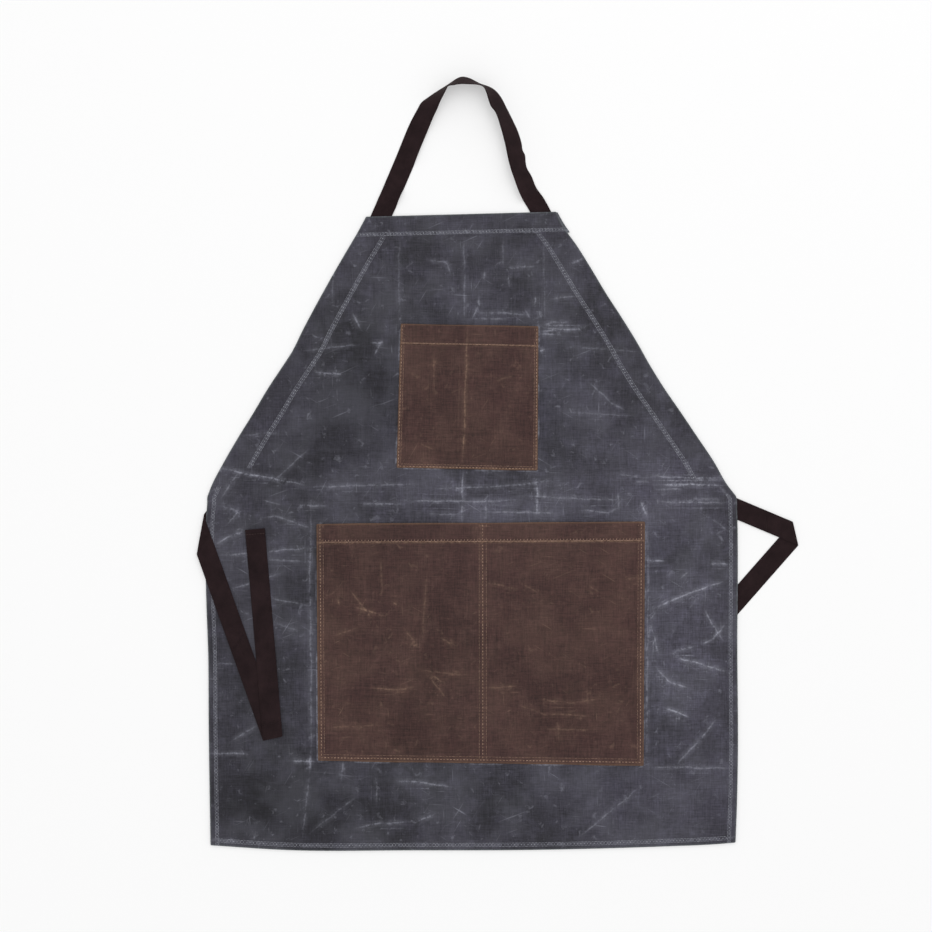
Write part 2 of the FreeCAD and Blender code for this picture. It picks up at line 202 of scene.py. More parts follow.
# %% The waxed canvas material
def waxed_canvas(name, deep, mid, bright, bloom, edge_tint, scratch_share, bloom_share):
    """Matte cloth with slow clouds, yarn streaks, and a pale wax bloom at marks, scratches and edges."""
    material, tree = new_material(name)
    place = add(tree, "Attribute", attribute_name="rest_mm").outputs["Vector"]

    # Clouds about 150 mm and 26 mm across: the dye and the wax lie unevenly.
    slow = add(tree, "TexNoise", {"Vector": place, "Scale": 1 / 150, "Detail": 4.0, "Roughness": 0.55})
    small = add(tree, "TexNoise", {"Vector": place, "Scale": 1 / 26, "Detail": 6.0, "Roughness": 0.68})
    clouds = add(tree, "MapRange", {"Value": slow, **span(0.34, 0.62)})
    base = add(tree, "Mix", {0: clouds, 6: colour(deep), 7: colour(mid)}, data_type="RGBA")
    mottle = add(tree, "MapRange", {"Value": small, **span(0.47, 0.86)})
    base = add(tree, "Mix", {0: mottle, 6: base.outputs[2], 7: colour(bright)}, data_type="RGBA")

    # Slubs: thicker yarns, 7 and 34 mm long, drawn 1.3 to 1.7 mm wide: the real 0.6 mm is too fine to show.
    streaks = []
    for along, across in ((34, 1.7), (1.7, 34), (7, 1.3), (1.3, 7)):
        drawn = add(tree, "Mapping", {"Vector": place, "Scale": (1 / along, 1 / across, 1.0)})
        streaks.append(add(tree, "TexNoise", {
            "Vector": drawn, "Scale": 1.0, "Detail": 2.0, "Roughness": 0.5}))
    yarn = streaks[0]
    for streak in streaks[1:]:
        yarn = add(tree, "Math", {0: yarn, 1: streak}, operation="ADD")
    yarn = add(tree, "MapRange", {"Value": yarn, **span(1.5, 2.5, 0.56, 1.46)})
    base = add(tree, "VectorMath", {0: base.outputs[2], 1: yarn}, operation="MULTIPLY")
    # The tone attribute lightens and darkens whole regions: partly uneven dye and wax, partly painted light
    # and painted shade.
    tone = add(tree, "Attribute", attribute_name="tone").outputs["Vector"]
    base = add(tree, "VectorMath", {0: base, 1: tone}, operation="MULTIPLY")

    # Scratches: thin pale dashes in five directions, gathered in patches where the cloth was rubbed.
    patch = add(tree, "TexNoise", {"Vector": place, "Scale": 1 / 70, "Detail": 3.0, "Roughness": 0.6})
    patch = add(tree, "MapRange", {"Value": patch, **span(0.42, 0.62)})
    scratches = None
    for turn, length, width, shift in (
        (4, 42, 1.3, 3.0), (31, 44, 1.2, 11.0), (88, 36, 1.3, 23.0), (121, 46, 1.2, 37.0),
        (158, 52, 1.3, 53.0),
    ):
        drawn = add(tree, "Mapping", {
            "Vector": place, "Rotation": (0, 0, math.radians(turn)), "Location": (shift, 2 * shift, 0)})
        drawn = add(tree, "Mapping", {"Vector": drawn, "Scale": (1 / length, 1 / (2 * width), 1.0)})
        line = add(tree, "TexNoise", {
            "Vector": drawn, "Scale": 1.0, "Detail": 1.0, "Roughness": 0.35, "Distortion": 0.06})
        line = add(tree, "MapRange", {"Value": line, **span(0.725, 0.87)})
        if scratches is None:
            scratches = line
        else:
            scratches = add(tree, "Math", {0: scratches, 1: line}, operation="MAXIMUM")
    scratches = add(tree, "Math", {0: scratches, 1: patch}, operation="MULTIPLY")
    scratches = add(tree, "Math", {0: scratches, 1: scratch_share}, operation="MULTIPLY")

    # Smudges about 11 mm across, where the cloth was pinched or knocked.
    smudge = add(tree, "TexNoise", {
        "Vector": place, "Scale": 1 / 11, "Detail": 3.0, "Roughness": 0.62, "Distortion": 0.5})
    smudge = add(tree, "MapRange", {"Value": smudge, **span(0.62, 0.84, 0.0, 0.34)})
    scratches = add(tree, "Math", {0: scratches, 1: smudge}, operation="MAXIMUM")

    # Fold marks: three families of lines, each with its distance in mm and its strength stored on the mesh.
    fine = add(tree, "TexNoise", {"Vector": place, "Scale": 1 / 5, "Detail": 4.0, "Roughness": 0.7})
    wobble = add(tree, "TexNoise", {"Vector": place, "Scale": 1 / 20, "Detail": 2.0})
    wobble = add(tree, "Math", {0: wobble, 1: -0.5}, operation="ADD")
    wobble = add(tree, "Math", {0: wobble, 1: 4.0}, operation="MULTIPLY")
    grain = add(tree, "MapRange", {"Value": fine, **span(0.38, 0.64, 0.12, 1.0)})
    marks = scratches
    near = add(tree, "Attribute", attribute_name="mark_mm").outputs["Vector"]
    near = add(tree, "SeparateXYZ", {0: near})
    gain = add(tree, "Attribute", attribute_name="mark_gain").outputs["Vector"]
    gain = add(tree, "SeparateXYZ", {0: gain})
    for family in range(3):
        off = add(tree, "Math", {0: near.outputs[family], 1: wobble}, operation="ADD")
        off = add(tree, "Math", {0: off}, operation="ABSOLUTE")
        line = add(tree, "MapRange", {"Value": off, **span(0.3, 1.9, 0.95, 0.0)})
        halo = add(tree, "MapRange", {"Value": off, **span(0.5, 6.0, 0.32, 0.0)})
        line = add(tree, "Math", {0: line, 1: halo}, operation="MAXIMUM")
        line = add(tree, "Math", {0: line, 1: gain.outputs[family]}, operation="MULTIPLY")
        line = add(tree, "Math", {0: line, 1: grain}, operation="MULTIPLY")
        marks = add(tree, "Math", {0: marks, 1: line}, operation="ADD")

    # Wear near edges: outer edge, seams and pocket edges, by their distances in mm.
    edges = add(tree, "Attribute", attribute_name="edge_mm").outputs["Vector"]
    edges = add(tree, "SeparateXYZ", {0: edges})
    for kind, reach_mm, share in ((0, 2.0, 0.24), (1, 3.2, 0.24), (2, 3.0, 0.74)):
        rub = add(tree, "MapRange", {"Value": edges.outputs[kind], **span(0.4, reach_mm, share, 0.0)})
        rub = add(tree, "Math", {0: rub, 1: grain}, operation="MULTIPLY")
        marks = add(tree, "Math", {0: marks, 1: rub}, operation="ADD")
    haze = add(tree, "MapRange", {"Value": patch, **span(0.0, 1.0, 0.0, 0.07)})
    marks = add(tree, "Math", {0: marks, 1: haze}, operation="ADD")
    marks = add(tree, "Math", {0: marks, 1: bloom_share}, operation="MULTIPLY", use_clamp=True)

    # The outermost millimetre of a hem keeps its wax and looks slightly greener.
    rim = add(tree, "MapRange", {"Value": edges, **span(1.0, 3.0, 0.55, 0.0)})
    base = add(tree, "Mix", {0: rim, 6: base, 7: colour(edge_tint)}, data_type="RGBA")
    pale = add(tree, "Mix", {0: marks, 6: base.outputs[2], 7: colour(bloom)}, data_type="RGBA")

    # The weave as relief: over and under, drawn with 1.3 mm threads so that it shows close up.
    axes = add(tree, "SeparateXYZ", {0: place})
    thread = 1.3
    waves = []
    for axis in (0, 1):
        phase = add(tree, "Math", {0: axes.outputs[axis], 1: math.pi / thread}, operation="MULTIPLY")
        waves.append(add(tree, "Math", {0: phase}, operation="SINE"))
    weave = add(tree, "Math", {0: waves[0], 1: waves[1]}, operation="MULTIPLY")
    relief = add(tree, "Math", {0: weave, 1: 0.16}, operation="MULTIPLY")
    relief = add(tree, "Math", {0: relief, 1: yarn}, operation="ADD")
    relief = add(tree, "Math", {0: marks, 1: 0.9, 2: relief}, operation="MULTIPLY_ADD")
    bump = add(tree, "Bump", {"Strength": 0.55, "Distance": 0.0005, "Height": relief})

    # Wax is smooth where it is whole and dull where it has broken up.
    rough = add(tree, "MapRange", {"Value": marks, **span(0.0, 1.0, 0.62, 0.88)})
    finish = add(tree, "BsdfPrincipled", {"Base Color": pale.outputs[2], "Roughness": rough, "IOR": 1.45,
        "Specular IOR Level": 0.28, "Normal": bump})
    add(tree, "OutputMaterial", {"Surface": finish})
    return material


charcoal_canvas = waxed_canvas(
    "waxed_cotton_duck_charcoal", deep="#2b2a30", mid="#383640", bright="#454350", bloom="#a3a4b1",
    edge_tint="#39403d", scratch_share=0.34, bloom_share=1.0)
brown_canvas = waxed_canvas(
    "waxed_cotton_duck_brown", deep="#372320", mid="#3f2927", bright="#4e3833", bloom="#8b705f",
    edge_tint="#5f4633", scratch_share=0.38, bloom_share=1.0)
print("canvas nodes:", len(charcoal_canvas.node_tree.nodes))

# %% [markdown]
# ## Cotton tape and sewing threads
# The strap and ties are 1 inch cotton twill tape: fine slanting ridges about 1 mm apart, matte, with a
# little fuzz that catches light at low angles. The fuzz is a sheen. Sewing thread is spun polyester, two
# plies twisted together, so it is smoother than the tape and has a fine slanting twist.


# %% Tape and thread materials
def twill_tape(name, deep, bright, fuzz):
    """Matte twill: slanting ridges along the tape and uneven dye; rest_mm holds length, width and side."""
    material, tree = new_material(name)
    place = add(tree, "Attribute", attribute_name="rest_mm").outputs["Vector"]
    axes = add(tree, "SeparateXYZ", {0: place})
    # Ridges 1.3 mm apart, at 60 degrees to the tape's length, a little coarser than the real ones.
    across = add(tree, "Math", {0: axes.outputs[1], 1: 0.55}, operation="MULTIPLY")
    phase = add(tree, "Math", {0: axes, 1: across}, operation="ADD")
    phase = add(tree, "Math", {0: phase, 1: 2 * math.pi / 1.3}, operation="MULTIPLY")
    ridge = add(tree, "Math", {0: phase}, operation="SINE")
    dye = add(tree, "TexNoise", {"Vector": place, "Scale": 1 / 22, "Detail": 5.0, "Roughness": 0.65})
    lint = add(tree, "TexNoise", {"Vector": place, "Scale": 1 / 1.6, "Detail": 3.0, "Roughness": 0.7})
    # The ridges are also painted into the colour, lighter on their crests and darker between them: painted
    # shade.
    mixed = add(tree, "Math", {0: ridge, 1: 0.10, 2: dye}, operation="MULTIPLY_ADD")
    mixed = add(tree, "Math", {0: lint, 1: 0.5, 2: mixed}, operation="MULTIPLY_ADD")
    mixed = add(tree, "MapRange", {"Value": mixed, **span(0.5, 1.1)})
    shade = add(tree, "Mix", {0: mixed, 6: colour(deep), 7: colour(bright)}, data_type="RGBA")
    relief = add(tree, "Math", {0: lint, 1: 0.8, 2: ridge}, operation="MULTIPLY_ADD")
    bump = add(tree, "Bump", {"Strength": 0.5, "Distance": 0.0003, "Height": relief})
    finish = add(tree, "BsdfPrincipled", {
        "Base Color": shade.outputs[2], "Roughness": 0.9, "IOR": 1.45, "Specular IOR Level": 0.15,
        "Sheen Weight": 0.12, "Sheen Roughness": 0.5, "Sheen Tint": colour(fuzz), "Normal": bump})
    add(tree, "OutputMaterial", {"Surface": finish})
    return material


def spun_thread(name, deep, bright):
    """Twisted thread: rest_mm holds the length along a stitch, the way round it, and the stitch's number."""
    material, tree = new_material(name)
    place = add(tree, "Attribute", attribute_name="rest_mm").outputs["Vector"]
    axes = add(tree, "SeparateXYZ", {0: place})
    turn = add(tree, "Math", {0: axes, 1: 6.0, 2: axes.outputs[1]}, operation="MULTIPLY_ADD")
    ply = add(tree, "Math", {0: turn}, operation="SINE")
    each = add(tree, "TexWhiteNoise", {"W": axes.outputs[2]}, noise_dimensions="1D")
    # The twist is also painted into the colour, lighter on the plies and darker in the grooves between them:
    # painted shade; the rest is a random tone for each stitch.
    mixed = add(tree, "Math", {0: ply, 1: 0.18, 2: each}, operation="MULTIPLY_ADD")
    shade = add(tree, "Mix", {
        0: mixed, 6: colour(deep), 7: colour(bright)}, data_type="RGBA", clamp_factor=True)
    bump = add(tree, "Bump", {"Strength": 0.4, "Distance": 0.0001, "Height": ply})
    finish = add(tree, "BsdfPrincipled", {
        "Base Color": shade.outputs[2], "Roughness": 0.6, "IOR": 1.5, "Specular IOR Level": 0.35,
        "Normal": bump})
    add(tree, "OutputMaterial", {"Surface": finish})
    return material


dark_tape = twill_tape("cotton_twill_tape_dark", deep="#1a1012", bright="#2e2022", fuzz="#7a6a66")
pale_thread = spun_thread("spun_polyester_thread_grey", deep="#70727b", bright="#a4a6ae")
tan_thread = spun_thread("spun_polyester_thread_tan", deep="#80634f", bright="#b49480")
print("tape and threads made")

# %% [markdown]
# ## The outline of the cloth
# The CAD gives straight edges. A real apron that has been washed, waxed and folded has edges that wander:
# the slanting edges of the bib draw in and out by a few millimetres and the bottom edge sags. Each edge is
# the CAD's straight line plus a short list of (place, offset) stations with a smooth curve through them.


# %% Smooth curves and edges
def curve_through(stations, at):
    """A smooth curve through (place, value) stations, read at the given places."""
    where, value = np.array(stations, float).T
    at = np.asarray(at, float)
    slope = np.gradient(value, where)
    i = np.clip(np.searchsorted(where, at) - 1, 0, len(where) - 2)
    run = where[i + 1] - where[i]
    t = np.clip((at - where[i]) / run, 0, 1)
    rise = (1 + 2 * t) * (1 - t) ** 2 * value[i] + t * t * (3 - 2 * t) * value[i + 1]
    return rise + t * (1 - t) ** 2 * run * slope[i] + t * t * (t - 1) * run * slope[i + 1]


def ease(value, start, end):
    """0 before start, 1 after end, smooth between."""
    t = np.clip((np.asarray(value, float) - start) / (end - start), 0, 1)
    return t * t * (3 - 2 * t)


def least(*values):
    """The smallest of several arrays, place by place."""
    return np.min(np.broadcast_arrays(*values), axis=0)


def unit(ways):
    """Directions of length 1."""
    return ways / np.linalg.norm(ways, axis=1)[:, None]


def flat_points(u, v):
    """Two arrays as a list of flat points."""
    return np.stack([np.ravel(u), np.ravel(v)], axis=1)


left_wander = (
    (-453, -1.5), (-300, 0.8), (-200, 1.6), (-140, 3.8), (-30, 4.6), (0, 3), (14, 5.4), (46, 6.6), (77, 6),
    (108, 4.2), (139, 3.2), (170, 0.2), (187, -1.4), (217, 0.4), (264, 1.6), (295, 1.6), (327, 0.9),
    (342, 0.4), (368, 1.0),
)
right_wander = (
    (-449, -1.4), (-400, 0.4), (-340, 1.6), (-200, 0.9), (-20, 0.7), (0, 0), (14, -2.2), (46, -0.8),
    (77, -2.2), (108, -3.6), (139, -5.6), (170, -5.6), (202, -3.7), (233, -3.5), (264, -4.2), (296, -3.4),
    (327, -3.4), (348, -5.2), (362, -4.2), (371, -2.6),
)
bottom_wander = ((-343, 4), (-240, -2.3), (-80, -2.6), (80, -2), (255, 2.7), (315, 5.3), (343, 7.6))
left_lean = (top_left[0] + half_width) / top_left[1]
right_lean = (half_width - top_right[0]) / top_right[1]


def left_edge(v):
    """The left edge's u at height v."""
    return -half_width + left_lean * np.clip(v, 0, None) - curve_through(left_wander, v)


def right_edge(v):
    """The right edge's u at height v."""
    return half_width - right_lean * np.clip(v, 0, None) + curve_through(right_wander, v)


def bottom_edge(u):
    """The bottom edge's v at u."""
    return -skirt_length + curve_through(bottom_wander, u)


def top_edge(u):
    """The top edge's v at u."""
    return top_left[1] + (np.asarray(u, float) - top_left[0]) * (
        (top_right[1] - top_left[1]) / (top_right[0] - top_left[0]))


def slant(v, lean):
    """How much wider a hem looks across the cloth where its edge slants."""
    return 1 + (math.hypot(1, lean) - 1) * ease(v, -4, 8)


def edge_distances(u, v):
    """How far points are inside the left, right, bottom and top edges, in mm."""
    left = (u - left_edge(v)) / slant(v, left_lean)
    right = (right_edge(v) - u) / slant(v, right_lean)
    return left, right, v - bottom_edge(u), top_edge(u) - v


print("edges at the waist", float(left_edge(0)), float(right_edge(0)))

# %% [markdown]
# ## Fold marks
# Packed aprons are folded, and waxed canvas keeps a pale line at each fold. The marks below were chosen: the
# packing folds across and down the cloth, lines that fan out from the waist corners, and a few long
# scratches. Each is a strength and a short chain of points. The marks are kept in three families, so that a
# point near two crossing marks knows its distance to both.

# %% The marks
level_marks = (
    (0.80, (-328, 38), (-303, 32), (-252, 22), (-219, 16)), (0.38, (-212, 13), (-69, 17)),
    (0.42, (-56, 11), (40, 14), (113, 22)), (0.80, (236, 16), (285, 16.5), (327, 15)),
    (0.62, (228, 28), (280, 25), (329, 24)), (0.35, (190, 29), (218, 28)), (0.45, (210, 20), (228, 20)),
    (0.45, (238, 10), (273, 10)), (0.60, (243, -6), (279, -7), (331, -7)), (0.35, (282, -2), (324, -3)),
    (0.70, (226, -82), (249, -83)), (0.70, (308, -86), (332, -87)), (0.60, (-132, 200), (-116, 201)),
    (0.60, (-204, 162), (-168, 160)), (0.30, (-220, 190), (-145, 199)),
    (0.40, (43, 300), (53, 298), (82, 300)), (0.40, (0, 239), (40, 240), (72, 236)),
    (0.35, (-2, 232), (48, 232)), (0.45, (88, 222), (105, 227), (130, 227)),
    (0.65, (91, 220), (136, 217), (150, 224)), (0.60, (89, 212), (106, 212)), (0.70, (87, 190), (94, 192)),
    (0.35, (103, 258), (134, 262)), (0.22, (130, 196), (222, 188)), (0.50, (-342, -333), (-290, -334)),
    (0.70, (-236, -343), (-206, -344)), (0.45, (228, -351), (338, -353)),
    (0.65, (-100, -369), (-60, -372), (-28, -377)), (0.55, (-150, -430), (-120, -424), (-84, -423)),
    (0.40, (-227, -10), (-190, -12)), (0.45, (-150, -8), (-90, -10)),
    (0.50, (-96, -4), (-10, -6), (60, -4)), (0.40, (60, 2), (150, -3), (200, -3)),
    (0.45, (138, -17), (177, -20), (191, -14)), (0.45, (20, -19), (110, -21)),
    (0.45, (-60, -22), (-20, -23)), (0.28, (-273, -4), (-250, -10)), (0.32, (-269, -81), (-222, -84)),
    (0.28, (-335, -216), (-311, -217)), (0.28, (-264, -131), (-212, -142)), (0.26, (-300, 80), (-250, 84)),
    (0.24, (120, 110), (210, 106)),
)
upright_marks = (
    (0.38, (-211, -6), (-212, -120), (-210, -250), (-211, -352)), (0.85, (-212, -336), (-212, -356)),
    (0.28, (-213, -360), (-217, -400), (-222, -444)),
    (0.38, (227, -12), (228, -120), (226, -250), (226, -352)), (0.30, (-12, 338), (-11, 300), (-11, 224)),
    (0.65, (-13, 33), (-14, 4), (-15, -33)), (0.22, (-95, 338), (-97, 286), (-96, 230)),
    (0.16, (92, 337), (93, 280), (93, 222)), (0.20, (39, 337), (39, 300)),
    (0.55, (8, 260), (8, 250), (-1, 232)), (0.55, (81, 260), (81, 249)), (0.40, (47, 289), (47, 274)),
    (0.40, (15, 293), (15, 283)), (0.65, (86, 241), (88, 234)), (0.80, (82, 26), (84, 2), (83, -24)),
    (0.55, (189, 5), (189, -15)), (0.80, (219, -6), (226, -28)), (0.50, (17, -11), (17, -28)),
    (0.40, (-168, -344), (-172, -369)), (0.45, (-288, -434), (-284, -445)),
    (0.65, (301, -147), (312, -166), (325, -187)), (0.45, (-156, 239), (-147, 219)),
    (0.45, (-119, 201), (-127, 186)), (0.30, (-126, -363), (-125, -398)), (0.20, (-178, 330), (-184, 250)),
    (0.55, (239, -147), (230, -161), (240, -200), (243, -207)),
)
slanting_marks = (
    (0.85, (235, -145), (280, -126), (326, -109)), (0.55, (258, -207), (265, -200), (292, -194)),
    (0.90, (260, -207), (296, -217), (332, -228)), (0.60, (292, -194), (311, -185), (328, -166)),
    (0.55, (318, -287), (300, -310), (264, -349)), (0.70, (238, -221), (257, -241), (281, -250)),
    (0.80, (250, -274), (281, -286)), (0.40, (219, -375), (180, -408), (137, -443)),
    (0.55, (-337, -63), (-318, -52), (-297, -44)), (0.45, (-331, -76), (-270, -71), (-203, -66)),
    (0.45, (-327, 0), (-318, 14), (-306, 30)), (0.50, (-331, -12), (-305, -18), (-320, -36)),
    (0.40, (-272, -27), (-256, -25), (-211, -41)), (0.40, (-317, -121), (-293, -113), (-250, -99)),
    (0.30, (-261, -162), (-227, -174)), (0.38, (-314, -317), (-282, -298)),
    (0.50, (-74, -423), (-51, -412)), (0.28, (-212, -437), (-180, -412), (-152, -389)),
    (0.35, (150, 150), (180, 122), (200, 112)), (0.30, (-260, 20), (-214, 62)),
    (0.28, (296, -29), (309, -25)), (0.30, (310, -29), (331, -43)), (0.38, (269, -107), (279, -98)),
    (0.30, (282, -144), (291, -133)), (0.55, (129, 304), (143, 310)),
    (0.35, (-58, 308), (-35, 306), (-29, 289)), (0.40, (68, 242), (73, 234)), (0.40, (318, 30), (332, 20)),
)
body_marks = (level_marks, upright_marks, slanting_marks)
# Soft patches of lighter and darker cloth, partly uneven dye and wax and partly painted light: lighter to the
# right and at the waist, darker at the left and bottom left as painted shade. Across, up, reach across, reach
# up, share.
dye_and_painted_light_patches = (
    (-150, 130, 90, 110, -0.54), (-60, 300, 70, 60, -0.05), (-255, 40, 70, 40, -0.33),
    (-285, -250, 60, 150, -0.26), (-230, -410, 120, 60, -0.62), (60, -410, 130, 45, -0.18),
    (0, 0, 160, 45, 0.36), (200, 20, 110, 50, 0.27), (282, -190, 60, 150, 0.60), (200, -410, 90, 50, 0.08),
    (150, 210, 60, 80, 0.06),
)


def dye_and_painted_light_at(u, v):
    """The share of brightness at flat points: partly uneven dye and wax, partly painted light and painted
    shade.
    """
    tone = np.ones(np.shape(u))
    for across, up, reach_u, reach_v, share in dye_and_painted_light_patches:
        tone = tone + share * np.exp(-((u - across) / reach_u) ** 2 - ((v - up) / reach_v) ** 2)
    return tone


def mark_field(points, family, reach_mm=9.0):
    """Signed distance in mm to the nearest mark of a family, and that mark's strength, at flat points."""
    nearest = np.full(len(points), reach_mm)
    strength = np.zeros(len(points))
    for power, *chain in family:
        chain = np.array(chain, float)
        total = np.linalg.norm(np.diff(chain, axis=0), axis=1).sum()
        done = 0.0
        for a, b in zip(chain[:-1], chain[1:]):
            run = np.linalg.norm(b - a)
            way = (b - a) / run
            along = (points - a) @ way
            off = (points - a) @ np.array([-way[1], way[0]])
            beyond = np.maximum(np.maximum(-along, along - run), 0)
            closer = (np.hypot(off, beyond) < np.abs(nearest)) & (beyond < reach_mm)
            where = (np.clip(along, 0, run) + done) / total
            fade = ease(where, 0, 0.22) * ease(1 - where, 0, 0.22) * 0.85 + 0.15
            fade = fade * (1 - ease(beyond, 0, 5))
            nearest[closer] = off[closer]
            strength[closer] = power * fade[closer]
            done += run
    strength *= 1 - ease(np.abs(nearest), 5.5, reach_mm - 1)
    return nearest, strength


def mark_attributes(points, families):
    """What the canvas material reads: each family's distances and strengths at flat points."""
    near, power = zip(*(mark_field(points, family) for family in families))
    return {"mark_mm": np.stack(near, axis=1), "mark_gain": np.stack(power, axis=1)}


print("marks:", sum(len(family) for family in body_marks))

# %% [markdown]
# ## How high the cloth lies
# A hem is three layers of cloth, so it stands about 3 mm off the table, and the single cloth between the
# hems sinks back to about 2 mm. That step is what makes a hem visible. Between the hems the cloth isn't
# flat either: it ripples by a few tenths of a millimetre, lifts along each fold mark, and lies over the
# hidden end of the right tie. A cloth simulation would find much the same heights, but it would also round
# off the hem's step, so the height is written as one function and every piece that lies on the cloth asks
# it.

# %% Heights
CLOTH = 0.9
HEM_FRONT = 2.95
HEM_BACK = 0.35
side_hem, facing, top_hem, bottom_hem = 13.5, 38.0, 27.5, 12.0
# The rows of stitches, as distances in from the edge.
side_rows, facing_rows, bottom_rows, top_rows = (7, 11), (30, 35), (5, 9.5), (21.6, 25.4)
step_before, step_after = 0.3, 2.2
right_tie_root = np.array([half_width - 16.8, -8.3])
right_headings = (-22.8, -131.3)
right_runs = (101.5, 500.1)


def step_from(start, heading, run):
    """The point a run away from start along a heading in degrees."""
    turn = math.radians(heading)
    return np.array(start) + run * np.array([math.cos(turn), math.sin(turn)])


right_fold = step_from(right_tie_root, right_headings[0], right_runs[0])
right_tip = step_from(right_fold, right_headings[1], right_runs[1])


def ripple(u, v, size, seed):
    """Smooth random heights, about -0.5 to 0.5, with waves of that size in mm."""
    flat = zip(np.ravel(u) / size, np.ravel(v) / size)
    return np.array([noise.noise(Vector((a, b, seed))) for a, b in flat]).reshape(np.shape(u))


def hem_width(v):
    """The turned edge is narrow on the skirt and widens into the bib's facing."""
    return side_hem + (facing - side_hem) * ease(v, -2, 28)


def over_loose_tie(u, v):
    """1 over the hidden run of the right tie, falling to 0 beside it."""
    way = (right_tip - right_fold) / right_runs[1]
    along = (u - right_fold[0]) * way[0] + (v - right_fold[1]) * way[1]
    off = np.abs((v - right_fold[1]) * way[0] - (u - right_fold[0]) * way[1])
    return (1 - ease(off, 13.5, 19)) * ease(along, 0, 5) * (1 - ease(along, right_runs[1], right_runs[1] + 8))


def hem_back(u, v):
    """The underside of a hem: near the table, but clear of the loose tie that passes below."""
    return HEM_BACK + 0.7 * over_loose_tie(u, v)


def front_z(u, v):
    """The height of the cloth's front at flat points, in mm above the table."""
    u, v = np.asarray(u, float), np.asarray(v, float)
    left, right, bottom, top = edge_distances(u, v)
    wide = hem_width(v)
    cover = 0.0
    for inset, depth in ((left, wide), (right, wide), (bottom, bottom_hem), (top, top_hem)):
        cover = np.maximum(cover, 1 - ease(inset, depth - step_before, depth + step_after))
    loose = 2.2 + 0.55 * ripple(u, v, 95, 1.0) + 0.28 * ripple(u, v, 34, 5.0) + 0.12 * over_loose_tie(u, v)
    height = np.clip(loose, 1.85, 2.75) * (1 - cover) + HEM_FRONT * cover
    flat = flat_points(u, v)
    for family in body_marks:
        near, power = mark_field(flat, family)
        height = height + (0.32 * power * np.exp(-(near / 1.8) ** 2)).reshape(np.shape(u)) * (1 - 0.6 * cover)
    # The cloth rises over the turned and sewn end of the hidden tie.
    end_middle = right_tip - step_from((0, 0), right_headings[1], 4.0)
    over_end = 1 - ease(np.hypot(u - end_middle[0], v - end_middle[1]), 14, 36)
    return height + np.maximum(HEM_FRONT - height, 0) * over_end


print("cloth height at the waist's middle:", round(float(front_z([0.0], [0.0])[0]), 2), "mm")

# %% [markdown]
# ## Closed cloth from a grid
# Each flat piece is a grid of points for its front, the same grid lowered for its back, and a rounded
# border between them. Near the edges the grid's lines keep fixed distances from the edge, so that a hem's
# step and its rows of stitches fall on lines of the mesh. A solidify modifier would do the thickness, but
# not a border that reaches down round a hem.


# %% Mesh helpers
def new_piece(name, points, faces, material, **fields):
    """A smooth mesh object from points in apron mm, with vector attributes in mm stored on its points."""
    mesh = bpy.data.meshes.new(name)
    mesh.from_pydata(((np.asarray(points) + waist) * MM).tolist(), [], faces)
    mesh.polygons.foreach_set("use_smooth", [True] * len(mesh.polygons))
    for field, values in fields.items():
        stored = mesh.attributes.new(field, "FLOAT_VECTOR", "POINT")
        stored.data.foreach_set("vector", np.asarray(values, np.float32).ravel())
    mesh.materials.append(material)
    piece = bpy.data.objects.new(name, mesh)
    bpy.context.scene.collection.objects.link(piece)
    return piece


def border_of(rows, columns):
    """The grid's outline as a chain of point numbers, anticlockwise."""
    last = (rows - 1) * columns
    chain = list(range(columns))
    chain += [r * columns + columns - 1 for r in range(1, rows)]
    chain += [last + c for c in range(columns - 2, -1, -1)]
    return chain + [r * columns for r in range(rows - 2, 0, -1)]


def closed_sheet(front, back_z, lip_z, lip=0.9):
    """Points and faces of a closed cloth: front is a grid of points, back_z the heights of its back,
    lip_z the heights down to which its rounded border reaches."""
    rows, columns = front.shape[:2]
    count = rows * columns
    top = front.reshape(-1, 3)
    bottom = top.copy()
    bottom[:, 2] = back_z.ravel()
    chain = border_of(rows, columns)
    rim = top[chain]
    side = np.roll(rim, -1, axis=0) - np.roll(rim, 1, axis=0)
    out = unit(np.stack([side[:, 1], -side[:, 0]], axis=1))
    low = lip_z.ravel()[chain]
    points, rings = [top], [chain]
    start = count
    for turn in (25, 55, 90, 125, 155, 180):
        angle = math.radians(turn)
        ring = rim.copy()
        ring[:, :2] += out * lip * math.sin(angle)
        ring[:, 2] = (rim[:, 2] + low) / 2 + (rim[:, 2] - low) / 2 * math.cos(angle)
        points.append(ring)
        rings.append(list(range(start, start + len(chain))))
        start += len(chain)
    bottom[chain, :2] -= out * 0.3
    points.append(bottom)
    rings.append([start + i for i in chain])
    faces = []
    for r in range(rows - 1):
        for c in range(columns - 1):
            a = r * columns + c
            faces.append((a, a + 1, a + columns + 1, a + columns))
            faces.append((start + a + columns, start + a + columns + 1, start + a + 1, start + a))
    for upper_ring, lower_ring in zip(rings[:-1], rings[1:]):
        for i in range(len(chain)):
            j = (i + 1) % len(chain)
            faces.append((upper_ring[i], lower_ring[i], lower_ring[j], upper_ring[j]))
    return np.concatenate(points), faces


def spaced(near, far_start, far_end, pitch):
    """Places along a side: fixed distances from both of its ends, with even steps between them."""
    steps = max(2, round((far_end - far_start - 2 * near[-1]) / pitch))
    middle = np.linspace(near[-1], (far_end - far_start) - near[-1], steps + 1)[1:-1]
    length = far_end - far_start
    return np.concatenate([near, middle, [length - n for n in reversed(near)]])


# %% [markdown]
# ## Where the pockets are
# The pockets come before the body cloth here only as outlines, because the body's wax is rubbed pale all
# round them. Each outline is the CAD pocket's middle plus four corners, a millimetre or two out of square,
# as sewn.


